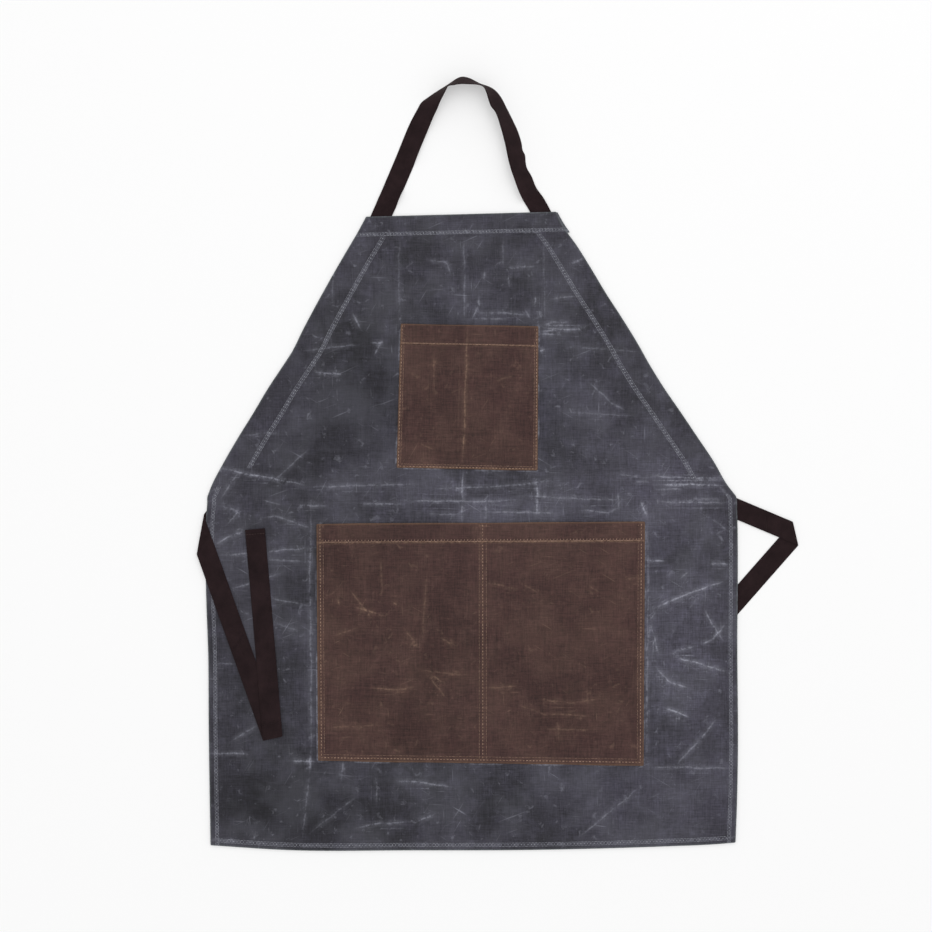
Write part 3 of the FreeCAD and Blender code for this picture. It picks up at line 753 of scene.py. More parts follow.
# %% Pocket outlines
def pocket_outline(node, corners):
    """The corners (top left, top right, bottom right, bottom left) of a pocket, in apron mm."""
    low, high = (np.array(corner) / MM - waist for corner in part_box(node))
    return (low[:2] + high[:2]) / 2 + np.array(corners, float)


chest_corners = pocket_outline("chest_pocket", ((-87.9, 95.8), (91.2, 92.2), (90.1, -95.8), (-93.3, -92.0)))
lower_corners = pocket_outline(
    "lower_pocket", ((-213.7, 154.9), (213.5, 157.9), (211.8, -160.0), (-211.6, -153.6)))


def from_outline(points, corners):
    """How far flat points are from a four-cornered outline, on either side of it."""
    best = np.full(len(points), 1e9)
    for a, b in zip(corners, np.roll(corners, -1, axis=0)):
        way = b - a
        share = np.clip(((points - a) @ way) / (way @ way), 0, 1)
        best = np.minimum(best, np.linalg.norm(points - a - share[:, None] * way, axis=1))
    return best


print("chest pocket", chest_corners.round(1).tolist())

# %% [markdown]
# ## The body cloth
# Bib and skirt are one cloth, so they are one mesh here. Its columns follow both side edges, and its rows
# follow the top and bottom edges.

# %% Body grid
side_insets = [
    0.9, 2.2, 4.4, 7, 9, 11, 12.2, 13.3, 14.6, 16.6, 20.5, 25, 28, 30, 32.5, 35, 36.6, 37.8, 39.2, 41.4, 45]
top_insets = [0.9, 3, 6, 10, 14, 18, 20.5, 22, 23.5, 25, 26.3, 27.3, 28.6, 31, 35]
bottom_insets = [0.9, 2.8, 5, 7.2, 9.5, 10.7, 11.8, 13.2, 15.5, 19]
body_pitch = 3.7
wide_middle = round((2 * half_width - 2 * side_insets[-1]) / body_pitch)
row_steps = round((skirt_length + bib_length - top_insets[-1] - bottom_insets[-1]) / 3.6)
row_v = np.concatenate([
    np.array(bottom_insets) - skirt_length,
    np.linspace(bottom_insets[-1] - skirt_length, bib_length - top_insets[-1], row_steps + 1)[1:-1],
    bib_length - np.array(top_insets[::-1]),
])


def body_row(v):
    """The u of each column at heights v, one height for each column."""
    left_part = np.array(side_insets)
    count = len(left_part)
    u = np.empty(len(v))
    u[:count] = left_edge(v[:count]) + left_part * slant(v[:count], left_lean)
    u[-count:] = right_edge(v[-count:]) - left_part[::-1] * slant(v[-count:], right_lean)
    share = np.linspace(0, 1, wide_middle + 1)[1:-1]
    inner = v[count:-count]
    start = left_edge(inner) + left_part[-1] * slant(inner, left_lean)
    end = right_edge(inner) - left_part[-1] * slant(inner, right_lean)
    u[count:-count] = start + (end - start) * share
    return u


columns = 2 * len(side_insets) + wide_middle - 1
body_front = np.zeros((len(row_v), columns, 3))
for r, v in enumerate(row_v):
    line = np.full(columns, v)
    for _ in range(2):
        u = body_row(line)
        sag = (bottom_edge(u) + skirt_length) * (1 - ease(v + skirt_length, 4, 130))
        rise = (top_edge(u) - bib_length) * ease(v, bib_length - 130, bib_length - 4)
        line = v + sag + rise
    body_front[r, :, 0] = body_row(line)
    body_front[r, :, 1] = line
body_front[..., 2] = front_z(body_front[..., 0], body_front[..., 1])
print("body grid", body_front.shape[:2])


# %% Body fields and mesh
def body_fields(points):
    """rest_mm, mark_mm, mark_gain and edge_mm for points of the body cloth."""
    u, v = points[:, 0], points[:, 1]
    left, right, bottom, top = edge_distances(u, v)
    outline = least(left, right, bottom, top)
    seams = [np.abs(top - 23.5), np.abs(bottom - 7.2)]
    for inset, facing_from in ((left, 37.0), (right, 18.0)):
        seams.append(np.abs(inset - 9) + 30 * ease(v, 12, 18))
        away = 30 * (1 - ease(v, facing_from - 3, facing_from)) + 30 * (top < 24)
        seams.append(np.abs(inset - 32.5) + away)
    pockets = least(*(from_outline(points[:, :2], corners) for corners in (chest_corners, lower_corners)))
    # Wear round the pockets is patchy, and slight along the mouths.
    pockets = pockets + 7.0 * np.clip(ripple(u, v, 38, 21.0) + 0.04, 0, 1) + 0.4
    for corners in (chest_corners, lower_corners):
        mouth = (v > corners[0][1] - 2) & (u > corners[0][0] + 8) & (u < corners[1][0] - 8)
        pockets = pockets + 2.2 * (mouth & (v < corners[0][1] + 12))
    return {
        "rest_mm": points, **mark_attributes(points[:, :2], body_marks),
        "edge_mm": np.stack([outline, np.min(seams, axis=0), pockets], axis=1),
        "tone": np.repeat(dye_and_painted_light_at(u, v)[:, None], 3, axis=1),
    }


body_back = body_front[..., 2] - CLOTH
body_lip = hem_back(body_front[..., 0], body_front[..., 1])
points, faces = closed_sheet(body_front, body_back, body_lip)
body_cloth = new_piece("body_cloth", points, faces, charcoal_canvas, **body_fields(points))
print("body cloth", len(points), "points, top of it at", round(points[:, 2].max(), 2), "mm")

# %% [markdown]
# ## The turned hems
# Behind every edge the cloth is turned twice. Those turned layers are separate strips under the body cloth:
# one along the top, one along the bottom, and one up each side that widens into the bib's facing. They show
# from behind, and their inner edges hold the cloth up.


# %% Hem strips
def hem_strip(name, grid_uv):
    """A strip of turned cloth between the table and the body cloth, over a grid of flat points."""
    front = np.zeros((*grid_uv.shape[:2], 3))
    front[..., :2] = grid_uv
    front[..., 2] = np.minimum(front_z(grid_uv[..., 0], grid_uv[..., 1]), HEM_FRONT) - CLOTH - 0.06
    back = hem_back(grid_uv[..., 0], grid_uv[..., 1])
    points, faces = closed_sheet(front, back, back, lip=0.5)
    return new_piece(name, points, faces, charcoal_canvas, **body_fields(points))


def strip_shares(count):
    """Shares across a strip, close together at both edges."""
    return (1 - np.cos(np.linspace(0, math.pi, count))) / 2


hem_v = np.linspace(2.0 - skirt_length, top_left[1] - top_hem - 3.5, 150)
hem_pieces = {}
for side, edge, lean, way in (("left", left_edge, left_lean, 1), ("right", right_edge, right_lean, -1)):
    grid = np.zeros((len(hem_v), 9, 2))
    v = np.maximum(hem_v, bottom_edge(edge(hem_v)) + 1.5)
    if side == "right":
        v = np.minimum(hem_v, top_right[1] - top_hem - 3.5)
    for c, share in enumerate(strip_shares(9)):
        inset = 1.4 + (hem_width(v) - 1.9) * share
        u = edge(v) + way * inset * slant(v, lean)
        grid[:, c if way > 0 else 8 - c, 0] = u
        grid[:, c if way > 0 else 8 - c, 1] = np.maximum(v, bottom_edge(u) + 1.5)
    hem_pieces[side] = hem_strip(f"{side}_edge_turn", grid)

across = strip_shares(7)
u = np.linspace(float(left_edge(-450)) + side_hem + 0.8, float(right_edge(-450)) - side_hem - 0.8, 150)
rows = [np.stack([u, bottom_edge(u) + 1.4 + (bottom_hem - 1.9) * share], axis=1) for share in across]
hem_pieces["bottom"] = hem_strip("bottom_edge_turn", np.stack(rows))
rows = []
for share in across:
    inset = top_hem - 0.5 - (top_hem - 1.9) * share
    ends = [float(edge(top_left[1] - inset)) for edge in (left_edge, right_edge)]
    u = np.linspace(ends[0] + 1.8, ends[1] - 1.8, 60)
    rows.append(np.stack([u, top_edge(u) - inset], axis=1))
hem_pieces["top"] = hem_strip("top_edge_turn", np.stack(rows))
print("hems:", sorted(hem_pieces))

# %% [markdown]
# ## Stitches
# The seams are twin rows with a covering thread that crosses between them, which reads as a fine ladder. A
# seam drawn as one long tube would look like piping, so each stitch is its own short piece of thread,
# swelling in the middle and diving into the cloth at both ends. All the stitches of a seam are copies of
# one small template, placed along the row at 4.3 mm, with small seeded differences, and joined into one
# mesh.

# %% The stitch template and a row of stitches
STITCH = 4.3
rounds = 6
# Stations along a stitch: share of its length, share of its radius, lift in radii.
swell = (
    (-0.50, 0.30, -0.55), (-0.43, 0.78, -0.15), (-0.24, 1.0, 0.12),
    (0.24, 1.0, 0.12), (0.43, 0.78, -0.15), (0.50, 0.30, -0.55),
)
chance = np.random.default_rng(7)


def stitches(centres, ways, lengths, radius, up=1.0):
    """Points, faces and thread fields of one short thread at each centre, along each flat way."""
    count = len(centres)
    angles = np.arange(rounds) * 2 * math.pi / rounds
    shape = []
    for along, fat, lift in swell:
        for angle in angles:
            shape.append((along, fat * math.cos(angle), fat * math.sin(angle) * 0.75 + lift, angle))
    shape = np.array(shape)
    ways = unit(ways)
    sides = np.stack([-ways[:, 1], ways[:, 0]], axis=1)
    points = np.zeros((count, len(shape), 3))
    along = shape[:, 0] * lengths[:, None]
    points[..., :2] = centres[:, None, :2] + along[..., None] * ways[:, None] \
        + (shape[:, 1] * radius)[None, :, None] * sides[:, None]
    points[..., 2] = centres[:, None, 2] + up * shape[:, 2] * radius
    fields = np.zeros((count, len(shape), 3))
    fields[..., 0] = along
    fields[..., 1] = shape[:, 3]
    fields[..., 2] = np.arange(count)[:, None] + chance.random()
    faces = []
    ring_faces = [(k * rounds + i, k * rounds + (i + 1) % rounds, (k + 1) * rounds + (i + 1) % rounds,
                   (k + 1) * rounds + i) for k in range(len(swell) - 1) for i in range(rounds)]
    ends = [tuple(range(rounds - 1, -1, -1)), tuple((len(swell) - 1) * rounds + i for i in range(rounds))]
    for n in range(count):
        base = n * len(shape)
        for face in ring_faces + ends:
            face = [base + i for i in face]
            faces.append(tuple(face) if up > 0 else tuple(reversed(face)))
    return points.reshape(-1, 3), faces, fields.reshape(-1, 3)


def even_places(path, pitch, shift=0.0):
    """Places every pitch mm along a chain of flat points: centres and directions."""
    path = np.asarray(path, float)
    lengths = np.concatenate([[0], np.cumsum(np.linalg.norm(np.diff(path, axis=0), axis=1))])
    at = np.arange(pitch * (0.5 + shift), lengths[-1] - pitch * 0.4, pitch)
    centres = np.stack([np.interp(at, lengths, path[:, k]) for k in (0, 1)], axis=1)
    ahead = np.stack([np.interp(at + 0.5, lengths, path[:, k]) for k in (0, 1)], axis=1)
    return centres, ahead - centres + 1e-9


def seam(name, material, rows, top, under):
    """All stitches of a seam. A row is (flat chain, stitch length, thread radius, whether it lies across)."""
    parts = []
    for path, length, radius, crosswise in rows:
        centres, ways = even_places(path, STITCH, shift=0.5 if crosswise else 0.0)
        ways = unit(ways)
        if crosswise:
            ways = np.stack([-ways[:, 1], ways[:, 0]], axis=1) + 0.2 * ways
        heights = top(centres[:, 0], centres[:, 1]) + 0.10
        lengths = length * chance.uniform(0.92, 1.08, len(centres))
        parts.append(stitches(np.column_stack([centres, heights]), ways, lengths, radius))
        if not crosswise:
            centres, ways = even_places(path, STITCH, shift=0.5)
            heights = under(centres[:, 0], centres[:, 1]) - 0.12
            lengths = np.full(len(centres), STITCH * 0.7)
            parts.append(stitches(np.column_stack([centres, heights]), ways, lengths, 0.26, up=-1.0))
    points, faces, fields, base = [], [], [], 0
    for some, some_faces, some_fields in parts:
        points.append(some)
        fields.append(some_fields)
        faces += [tuple(i + base for i in face) for face in some_faces]
        base += len(some)
    points = np.concatenate(points)
    points[:, 2] = np.maximum(points[:, 2], 0.02)
    return new_piece(name, points, faces, material, rest_mm=np.concatenate(fields))


def twin_rows(chain_at, first, second, rung):
    """Two fine rows and the short cross stitches midway between them; chain_at gives the row at an inset."""
    fine_rows = [(chain_at(inset), 3.7, 0.19, False) for inset in (first, second)]
    return [*fine_rows, (chain_at((first + second) / 2), rung, 0.34, True)]


# %% The seams of the body
def side_chain(edge, lean, way, inset, low, high):
    """A row of stitches up a side edge, at a fixed distance inside it."""
    v = np.linspace(low, high, 120)
    return np.stack([edge(v) + way * inset * slant(v, lean), v], axis=1)


def cross_chain(edge, inset, start, end):
    """A row of stitches along the top or bottom edge."""
    u = np.linspace(start, end, 160)
    return np.stack([u, edge(u) + inset], axis=1)


low_end = 4.0 - skirt_length
side_ends = (float(left_edge(-450)) + 9, float(right_edge(-450)) - 9)
body_seams = {
    "side_left_seam": twin_rows(
        lambda i: side_chain(left_edge, left_lean, 1, i, low_end, 15), *side_rows, 1.8),
    "side_right_seam": twin_rows(
        lambda i: side_chain(right_edge, right_lean, -1, i, low_end + 2, 5), *side_rows, 1.8),
    "bib_left_seam": twin_rows(
        lambda i: side_chain(left_edge, left_lean, 1, i, 26 + 0.4 * i, top_left[1] + 8 - i),
        *facing_rows, 2.6),
    "bib_right_seam": twin_rows(
        lambda i: side_chain(right_edge, right_lean, -1, i, 2 + 0.6 * i, top_right[1] - 22 - 0.2 * i),
        *facing_rows, 2.6),
    "bottom_hem_seam": twin_rows(lambda i: cross_chain(bottom_edge, i, *side_ends), *bottom_rows, 1.8),
    "top_hem_seam": twin_rows(
        lambda i: cross_chain(
            top_edge, -i, float(left_edge(top_left[1] - i)) + 1.5, float(right_edge(top_right[1] - i)) - 1.5),
        *top_rows, 2.0),
}
seam_pieces = {name: seam(name, pale_thread, rows, front_z, hem_back) for name, rows in body_seams.items()}
print("stitches made for", len(seam_pieces), "seams")

# %% [markdown]
# ## Pockets
# A pocket is one brown cloth with its side and bottom edges turned under and sewn to the front, and its
# mouth turned to the outside as a band. Empty, it lies almost flat and stands a few millimetres proud in
# the middle. A cloth simulation with air pressure was considered, but it needs a remesh that erases the
# turned edges, so the swelling is a smooth function pinned at the seams, with fine ripples on top of it.

# %% Pocket marks, in the same terms as the body's
chest_marks = (
    (),
    ((0.75, (-7, 222), (-8, 196), (-10, 150), (-11, 90), (-14, 40)), (0.30, (-52, 190), (-50, 130))),
    ((0.35, (-70, 70), (-52, 62)), (0.30, (30, 150), (52, 158)), (0.25, (-60, 170), (-44, 178))),
)
lower_marks = (
    (
        (0.55, (18, -112), (38, -115), (60, -120)), (0.50, (18, -248), (58, -246)),
        (0.50, (198, -107), (218, -106)), (0.60, (-154, -143), (-130, -150), (-114, -155)),
        (0.55, (-134, -248), (-100, -250), (-75, -247)), (0.50, (87, -262), (130, -268), (165, -262)),
        (0.45, (95, -281), (150, -284)), (0.40, (90, -301), (160, -303)),
        (0.40, (-190, -300), (-120, -296)), (0.35, (-70, -225), (-10, -232)),
    ),
    (
        (0.60, (-176, -130), (-174, -140)), (0.60, (-104, -136), (-95, -142)),
        (0.30, (-60, -100), (-66, -190)), (0.35, (110, -292), (112, -320)),
        (0.30, (-120, -80), (-118, -130)),
    ),
    (
        (0.60, (-81, -190), (-72, -195)), (0.60, (-42, -184), (-22, -193)),
        (0.60, (-53, -232), (-40, -240)), (0.35, (64, -112), (88, -126)),
        (0.40, (-160, -120), (-130, -160)), (0.45, (-90, -170), (-66, -200)),
        (0.40, (-60, -230), (-34, -262)), (0.40, (-180, -180), (-150, -170)),
        (0.30, (150, -115), (164, -124)), (0.35, (60, -270), (100, -285)),
    ),
)


# %% Pocket builder
def bilinear(corners, s, t):
    """Flat points at shares s from the left and t from the top of a four-cornered outline."""
    tl, tr, br, bl = corners
    s, t = s[..., None], t[..., None]
    return (tl * (1 - s) + tr * s) * (1 - t) + (bl * (1 - s) + br * s) * t


def make_pocket(name, corners, rows_in, band_depth, swelling, marks, divider=None):
    """The pocket's cloth and its mouth band. Returns both pieces, the pocket's width and height, and the
    functions that sew a seam and place its rows."""
    width = (np.linalg.norm(corners[1] - corners[0]) + np.linalg.norm(corners[2] - corners[3])) / 2
    height = (np.linalg.norm(corners[3] - corners[0]) + np.linalg.norm(corners[2] - corners[1])) / 2
    turned = 10.0
    insets = [0.9, 2.2, 3.5, 5.0, 7.0, 9.0, 10.2, 11.8, 14.5, 18.0]
    across = spaced(insets, 0, width, 3.6) / width
    down = spaced(insets, 0, height, 3.6) / height
    if divider is not None:
        nearby = divider + np.array([-9, -6.5, -4.8, -2.4, 0, 2.4, 4.8, 6.5, 9]) / width
        across = np.sort(np.concatenate([across[np.abs(across - divider) > 11.0 / width], nearby]))

    def local(u, v):
        """Distances in mm from the left, right, mouth and bottom sides."""
        points = flat_points(u, v)
        result = []
        for a, b in ((3, 0), (1, 2), (0, 1), (2, 3)):
            way = corners[b] - corners[a]
            way = way / np.linalg.norm(way)
            result.append(((points - corners[a]) @ np.array([way[1], -way[0]])).reshape(np.shape(u)))
        return result

    def over_turning(u, v):
        """1 over the edges that are turned under, 0 further in."""
        left, right, _, bottom = local(u, v)
        return 1 - ease(least(left, right, bottom), turned - 0.4, turned + 1.8)

    def flat_grid(down):
        """Flat points at shares down from the mouth, with a slight wander of the edges."""
        s, t = np.meshgrid(across, down)
        flat = bilinear(corners, s, t)
        flat[..., 1] += 0.9 * ripple(flat[..., 0], flat[..., 1], 70, 12.0)
        return flat, flat[..., 0], flat[..., 1]

    def rise(u, v):
        """How far the pocket's front stands over the body cloth."""
        left, right, mouth, bottom = local(u, v)
        side = ease(np.minimum(left, right), 6, 58) * ease(bottom, 6, 70)
        if divider is not None:
            side = side * ease(np.abs(left - divider * width), 7, 62)
        hollow = swelling * side * (0.55 + 0.45 * ease(mouth, 0, 60))
        hollow = hollow * (1 + 0.5 * ripple(u, v, 60, 9.0)) + 0.22 * side * ripple(u, v, 22, 3.0)
        near, power = mark_field(flat_points(u, v), marks[1])
        fold = (0.45 * power * np.exp(-(near / 2.0) ** 2)).reshape(np.shape(u))
        return 0.12 + CLOTH + 0.75 * over_turning(u, v) + hollow + fold

    def pocket_top(u, v):
        return front_z(u, v) + rise(u, v)

    def fields(points):
        left, right, mouth, bottom = local(points[:, 0], points[:, 1])
        outline = least(left, right, mouth, bottom)
        rows = np.minimum(np.abs(np.minimum(left, right) - rows_in), np.abs(bottom - rows_in))
        if divider is not None:
            rows = np.minimum(rows, np.abs(left - divider * width))
        step = np.abs(mouth - band_depth) + 0.4
        return {
            "rest_mm": points, **mark_attributes(points[:, :2], marks),
            "edge_mm": np.stack([outline, rows, step], axis=1), "tone": np.ones((len(points), 3)),
        }

    # The cloth's mouth starts 1.2 mm down, inside the fold of the band.
    flat, u, v = flat_grid(np.where(down < 3.0 / height, down + 1.2 / height, down)[::-1])
    front = np.concatenate([flat, pocket_top(u, v)[..., None]], axis=2)
    back = front[..., 2] - CLOTH - 0.70 * over_turning(u, v)
    lip = np.maximum(front_z(u, v) + 0.10, back - 0.9)
    points, faces = closed_sheet(front, back, lip)
    cloth = new_piece(f"{name}_cloth", points, faces, brown_canvas, **fields(points))

    # The band: the mouth's cloth folded over to the outside, so its upper edge wraps round the pocket's.
    depths = np.array([0.9, 2.2, 4, 7, 11, 15, 19, *(band_depth - np.array([4, 2.4, 1.2, 0.4]))])
    flat, u, v = flat_grid(depths[::-1] / height)
    under = pocket_top(u, v) + 0.06
    mouth = local(u, v)[2]
    puff = 0.35 * ease(mouth, 1, 8) * (1 - ease(mouth, band_depth - 8, band_depth - 1))
    front = np.concatenate([flat, (under + CLOTH + puff)[..., None]], axis=2)
    lip = np.where(mouth < 1.5, under - CLOTH - 0.1, under)
    points, faces = closed_sheet(front, under, lip, lip=0.7)
    band = new_piece(f"{name}_mouth_band", points, faces, brown_canvas, **fields(points))

    def top(u, v):
        """The highest cloth of the pocket: the band where there is one."""
        mouth = local(u, v)[2]
        return pocket_top(u, v) + (CLOTH + 0.12) * (1 - ease(mouth, band_depth - 0.6, band_depth + 0.2))

    def round_row(inset, stitch, radius):
        """A row down one side, along the bottom and up the other side, at an inset."""
        a, b, end = inset / width, inset / height, 1.5 / height
        path = []
        for s0, t0, s1, t1 in ((a, end, a, 1 - b), (a, 1 - b, 1 - a, 1 - b), (1 - a, 1 - b, 1 - a, end)):
            share = np.linspace(0, 1, 60)
            path.append(bilinear(corners, s0 + (s1 - s0) * share, t0 + (t1 - t0) * share))
        return np.concatenate(path), stitch, radius, False

    def mouth_row(depth, stitch, radius, crosswise=False):
        """A row along the mouth band, at a depth below the mouth."""
        share = np.linspace(3.0 / width, 1 - 3.0 / width, 100)
        return bilinear(corners, share, np.full(100, depth / height)), stitch, radius, crosswise

    def sew(seam_name, rows):
        """A seam through the pocket and the body cloth."""
        return seam(seam_name, tan_thread, rows, top, pocket_under)

    print(name, "is", round(width, 1), "by", round(height, 1), "mm")
    return cloth, band, (width, height), sew, round_row, mouth_row


def pocket_under(u, v):
    """The back of the body cloth behind a pocket's seam."""
    return front_z(u, v) - CLOTH


# %% Both pockets
chest_cloth, chest_band, chest_size, sew, round_row, mouth_row = make_pocket(
    "chest_pocket", chest_corners, rows_in=2.4, band_depth=26.5, swelling=1.7, marks=chest_marks)
chest_seam = sew("chest_pocket_seam", [round_row(2.2, 2.5, 0.38), round_row(5.2, 3.8, 0.15)])
chest_band_seam = sew("chest_band_seam", [mouth_row(25.4, 4.0, 0.26)])

divider_share = 0.506
lower_cloth, lower_band, lower_size, sew, round_row, mouth_row = make_pocket(
    "lower_pocket", lower_corners, rows_in=4.8, band_depth=25.4, swelling=2.6, marks=lower_marks,
    divider=divider_share)
lower_seam = sew("lower_pocket_seam", [round_row(4.6, 2.4, 0.42), round_row(8.6, 3.8, 0.15)])
lower_band_seam = sew("lower_band_seam", [mouth_row(24.4, 4.0, 0.30), mouth_row(22.6, 2.2, 0.30, True)])
divider_rows = []
for off, length, radius in ((-4.6, 3.8, 0.17), (0.0, 2.1, 0.42), (4.6, 3.8, 0.17)):
    down = np.linspace(2.0 / lower_size[1], 1 - 4.0 / lower_size[1], 120)
    row = bilinear(lower_corners, np.full(120, divider_share + off / lower_size[0]), down)
    divider_rows.append((row, length, radius, False))
lower_divider_seam = sew("lower_divider_seam", divider_rows)
print("pockets sewn")

# %% [markdown]
# ## Waist ties
# A tie is a flat tape that is folded like paper: at each fold it turns over and goes off in another
# direction, and its length never changes. So the tape is laid out straight, and each fold rolls everything
# past its fold line round a small cylinder. Modelling the runs as separate strips would leave corners that
# don't match; this way the slanting fold edges come out by themselves. The left tie's run to the hem, its
# middle and its tail are three pieces, because each joint bends only one of them.

# %% Laying a tape
TAPE_W = 25.4
TAPE = 0.8
AROUND = 20


def lay_tape(start, runs, headings, heights):
    """A function from (length, across, lift) on a flat tape to apron mm after all its folds, its list of
    folds and its length. heights holds, for each run, stations (distance along, height of the middle)."""
    folds, at, corner = [], 0.0, np.array(start, float)
    ahead = np.array([math.cos(math.radians(headings[0])), math.sin(math.radians(headings[0]))])
    side = np.array([-ahead[1], ahead[0]])
    frames = [(corner.copy(), at, ahead, side)]
    for n, run in enumerate(runs[:-1]):
        corner = corner + ahead * run
        at += run
        middle = math.radians((headings[n] + headings[n + 1]) / 2)
        line = np.array([math.cos(middle), math.sin(middle)])
        forward = np.array([-line[1], line[0]])
        forward = forward * np.sign(forward @ ahead)
        low, high = heights[n][-1][1], heights[n + 1][0][1]
        radius = abs(high - low) / 2
        folds.append({
            "corner": corner.copy(), "at": at, "forward": forward, "radius": radius, "low": low,
            "up": np.sign(high - low), "shear": (line @ ahead) / (line @ side), "reach": math.pi * radius / 2,
        })
        ahead = ahead - 2 * (ahead @ forward) * forward
        side = side - 2 * (side @ forward) * forward
        frames.append((corner.copy(), at, ahead, side))
    total = at + runs[-1]

    def place(length, across, lift):
        """One point of the folded tape."""
        past, facing_up = None, 1.0
        for n, (origin, begun, along, sideways) in enumerate(frames):
            flat = origin + (length - begun) * along + across * sideways
            before = length if past is None else past
            if n < len(folds):
                fold = folds[n]
                ahead_by = (flat - fold["corner"]) @ fold["forward"]
                left_over = -ahead_by
            else:
                left_over = total - length
                ahead_by = -1e9
            if n == len(folds) or ahead_by <= -fold["reach"]:
                stations = heights[n]
                share = before / max(before + left_over, 1e-6)
                z = float(curve_through(stations, share * stations[-1][0]))
                return np.array([*flat, z + lift * facing_up])
            if ahead_by < fold["reach"]:
                turn = (ahead_by + fold["reach"]) / fold["radius"]
                shift = fold["radius"] * math.sin(turn) - fold["reach"] - ahead_by
                flat = flat + fold["forward"] * shift
                z = fold["low"] + fold["up"] * fold["radius"] * (1 - math.cos(turn))
                level = facing_up * math.cos(turn)
                outward = -facing_up * fold["up"] * math.sin(turn)
                return np.array([*(flat + fold["forward"] * outward * lift), z + lift * level])
            past = ahead_by
            facing_up = -facing_up
        raise ValueError("a tape point past its end")

    return place, folds, total


def tape_lines(folds, total, start, end, pitch=4.0):
    """Lengths and slants of a tape's cross lines, closer together at each fold and parallel to it there."""
    stops, slants = [0.0], [0.0]
    at = list(np.arange(0, total, pitch))
    for fold in folds:
        half = 11.0
        stops += [fold["at"] - half, fold["at"] + half]
        slants += [fold["shear"]] * 2
        reach = fold["reach"] * math.hypot(1, fold["shear"])
        at = [a for a in at if abs(a - fold["at"]) > reach + 1.0]
        at += list(fold["at"] + reach * np.linspace(-1, 1, 11))
    stops.append(total)
    slants.append(0.0)
    at = np.array(sorted(a for a in at if start + 0.5 < a < end - 0.5))
    at = np.concatenate([[start], at, [end]])
    return at, np.interp(at, stops, slants)


def strip_faces(count):
    """The sides and both ends of a closed strip with count cross sections of AROUND points each."""
    faces = []
    for k in range(count - 1):
        for i in range(AROUND):
            j = (i + 1) % AROUND
            faces.append((k * AROUND + i, k * AROUND + j, (k + 1) * AROUND + j, (k + 1) * AROUND + i))
    for base, flip in ((0, False), ((count - 1) * AROUND, True)):
        cap = [(base + i, base + 18 - i, base + 17 - i, base + i + 1) for i in range(8)]
        cap += [(base + 8, base + 10, base + 9), (base, base + 19, base + 18)]
        faces += [tuple(reversed(f)) if flip else f for f in cap]
    return faces


def tape_piece(name, place, at, slants, low=-TAPE / 2, high=TAPE / 2):
    """A closed strip of tape through cross lines, nine points wide with rounded selvedges."""
    share = np.linspace(-0.5, 0.5, 9)
    outline = [(w * TAPE_W, high - 0.10 * (abs(w) > 0.49)) for w in share]
    outline.append((0.5 * TAPE_W + 0.22, (low + high) / 2))
    outline += [(w * TAPE_W, low + 0.10 * (abs(w) > 0.49)) for w in share[::-1]]
    outline.append((-0.5 * TAPE_W - 0.22, (low + high) / 2))
    points, fields = [], []
    for length, slope in zip(at, slants):
        for w, lift in outline:
            points.append(place(length + slope * w, w, lift))
            fields.append((length + slope * w, w, 40.0 if lift > (low + high) / 2 else 0.0))
    piece = new_piece(name, points, strip_faces(len(at)), dark_tape, rest_mm=fields)
    mesh = piece.data
    volume = sum(
        Vector(mesh.vertices[f[0]].co).dot(
            Vector(mesh.vertices[f[1]].co).cross(Vector(mesh.vertices[f[2]].co)))
        for p in mesh.polygons for f in ([p.vertices[0], p.vertices[i], p.vertices[i + 1]]
                                         for i in range(1, len(p.vertices) - 1)))
    if volume < 0:
        mesh.flip_normals()
    return piece


def tie_pieces(names, cuts, place, folds):
    """A tie cut into pieces: names in order, and the lengths where they start and end."""
    pieces = {}
    for name, start, end in zip(names, cuts[:-1], cuts[1:]):
        pieces[name] = tape_piece(name, place, *tape_lines(folds, cuts[-1], start, end))
    return pieces


def end_stitches(name, place, length, lift, way):
    """A row of pale-brown stitches across a tie, on top of its turned end."""
    centres, ways = [], []
    for w in np.arange(-10.5, 10.6, 3.5):
        centres.append(place(length, w, lift))
        ways.append(place(length, w + 0.5, lift)[:2] - place(length, w - 0.5, lift)[:2])
    points, faces, fields = stitches(
        np.array(centres), np.array(ways), np.full(len(centres), 2.8), 0.24, up=way)
    return new_piece(name, points, faces, tie_thread, rest_mm=fields)


tie_thread = spun_thread("spun_polyester_thread_dark", deep="#2b1d1c", bright="#4a3934")

# %% Left tie
left_root = np.array([-half_width + 17.6, -13.0])
left_runs = (45.7, 282.5, 273.4)
left_headings = (-130.2, -70.4, 94.9)
on_cloth = 2.9 + TAPE / 2
left_heights = (
    ((0, 1.5), (45.7, 1.5)),
    ((0, 4.0), (30, 4.0), (110, 3.5), (282.5, 3.45)),
    ((0, 5.15), (24, 5.15), (70, 4.3), (150, on_cloth), (240, on_cloth), (273.4, on_cloth + 0.7)),
)
left_place, left_folds, left_total = lay_tape(left_root, left_runs, left_headings, left_heights)
first_cut = left_runs[0] + 150.0
second_cut = left_runs[0] + left_runs[1] + 20.0
left_pieces = tie_pieces(
    ("left_tie_to_hem", "left_tie_turn", "left_tie_tail"), (0.0, first_cut, second_cut, left_total),
    left_place, left_folds)
tie_hem = 8.0
at = np.linspace(left_total - tie_hem, left_total - 0.2, 5)
# The tail lies face up again after two folds, so its underside is at negative lift.
left_end_turn = tape_piece("left_tie_end_turn", left_place, at, at * 0, low=-1.26, high=-0.44)
left_end_row = end_stitches("left_tie_end_row", left_place, left_total - 6.5, TAPE / 2 + 0.06, 1.0)
print("left tie", round(left_total, 1), "mm")

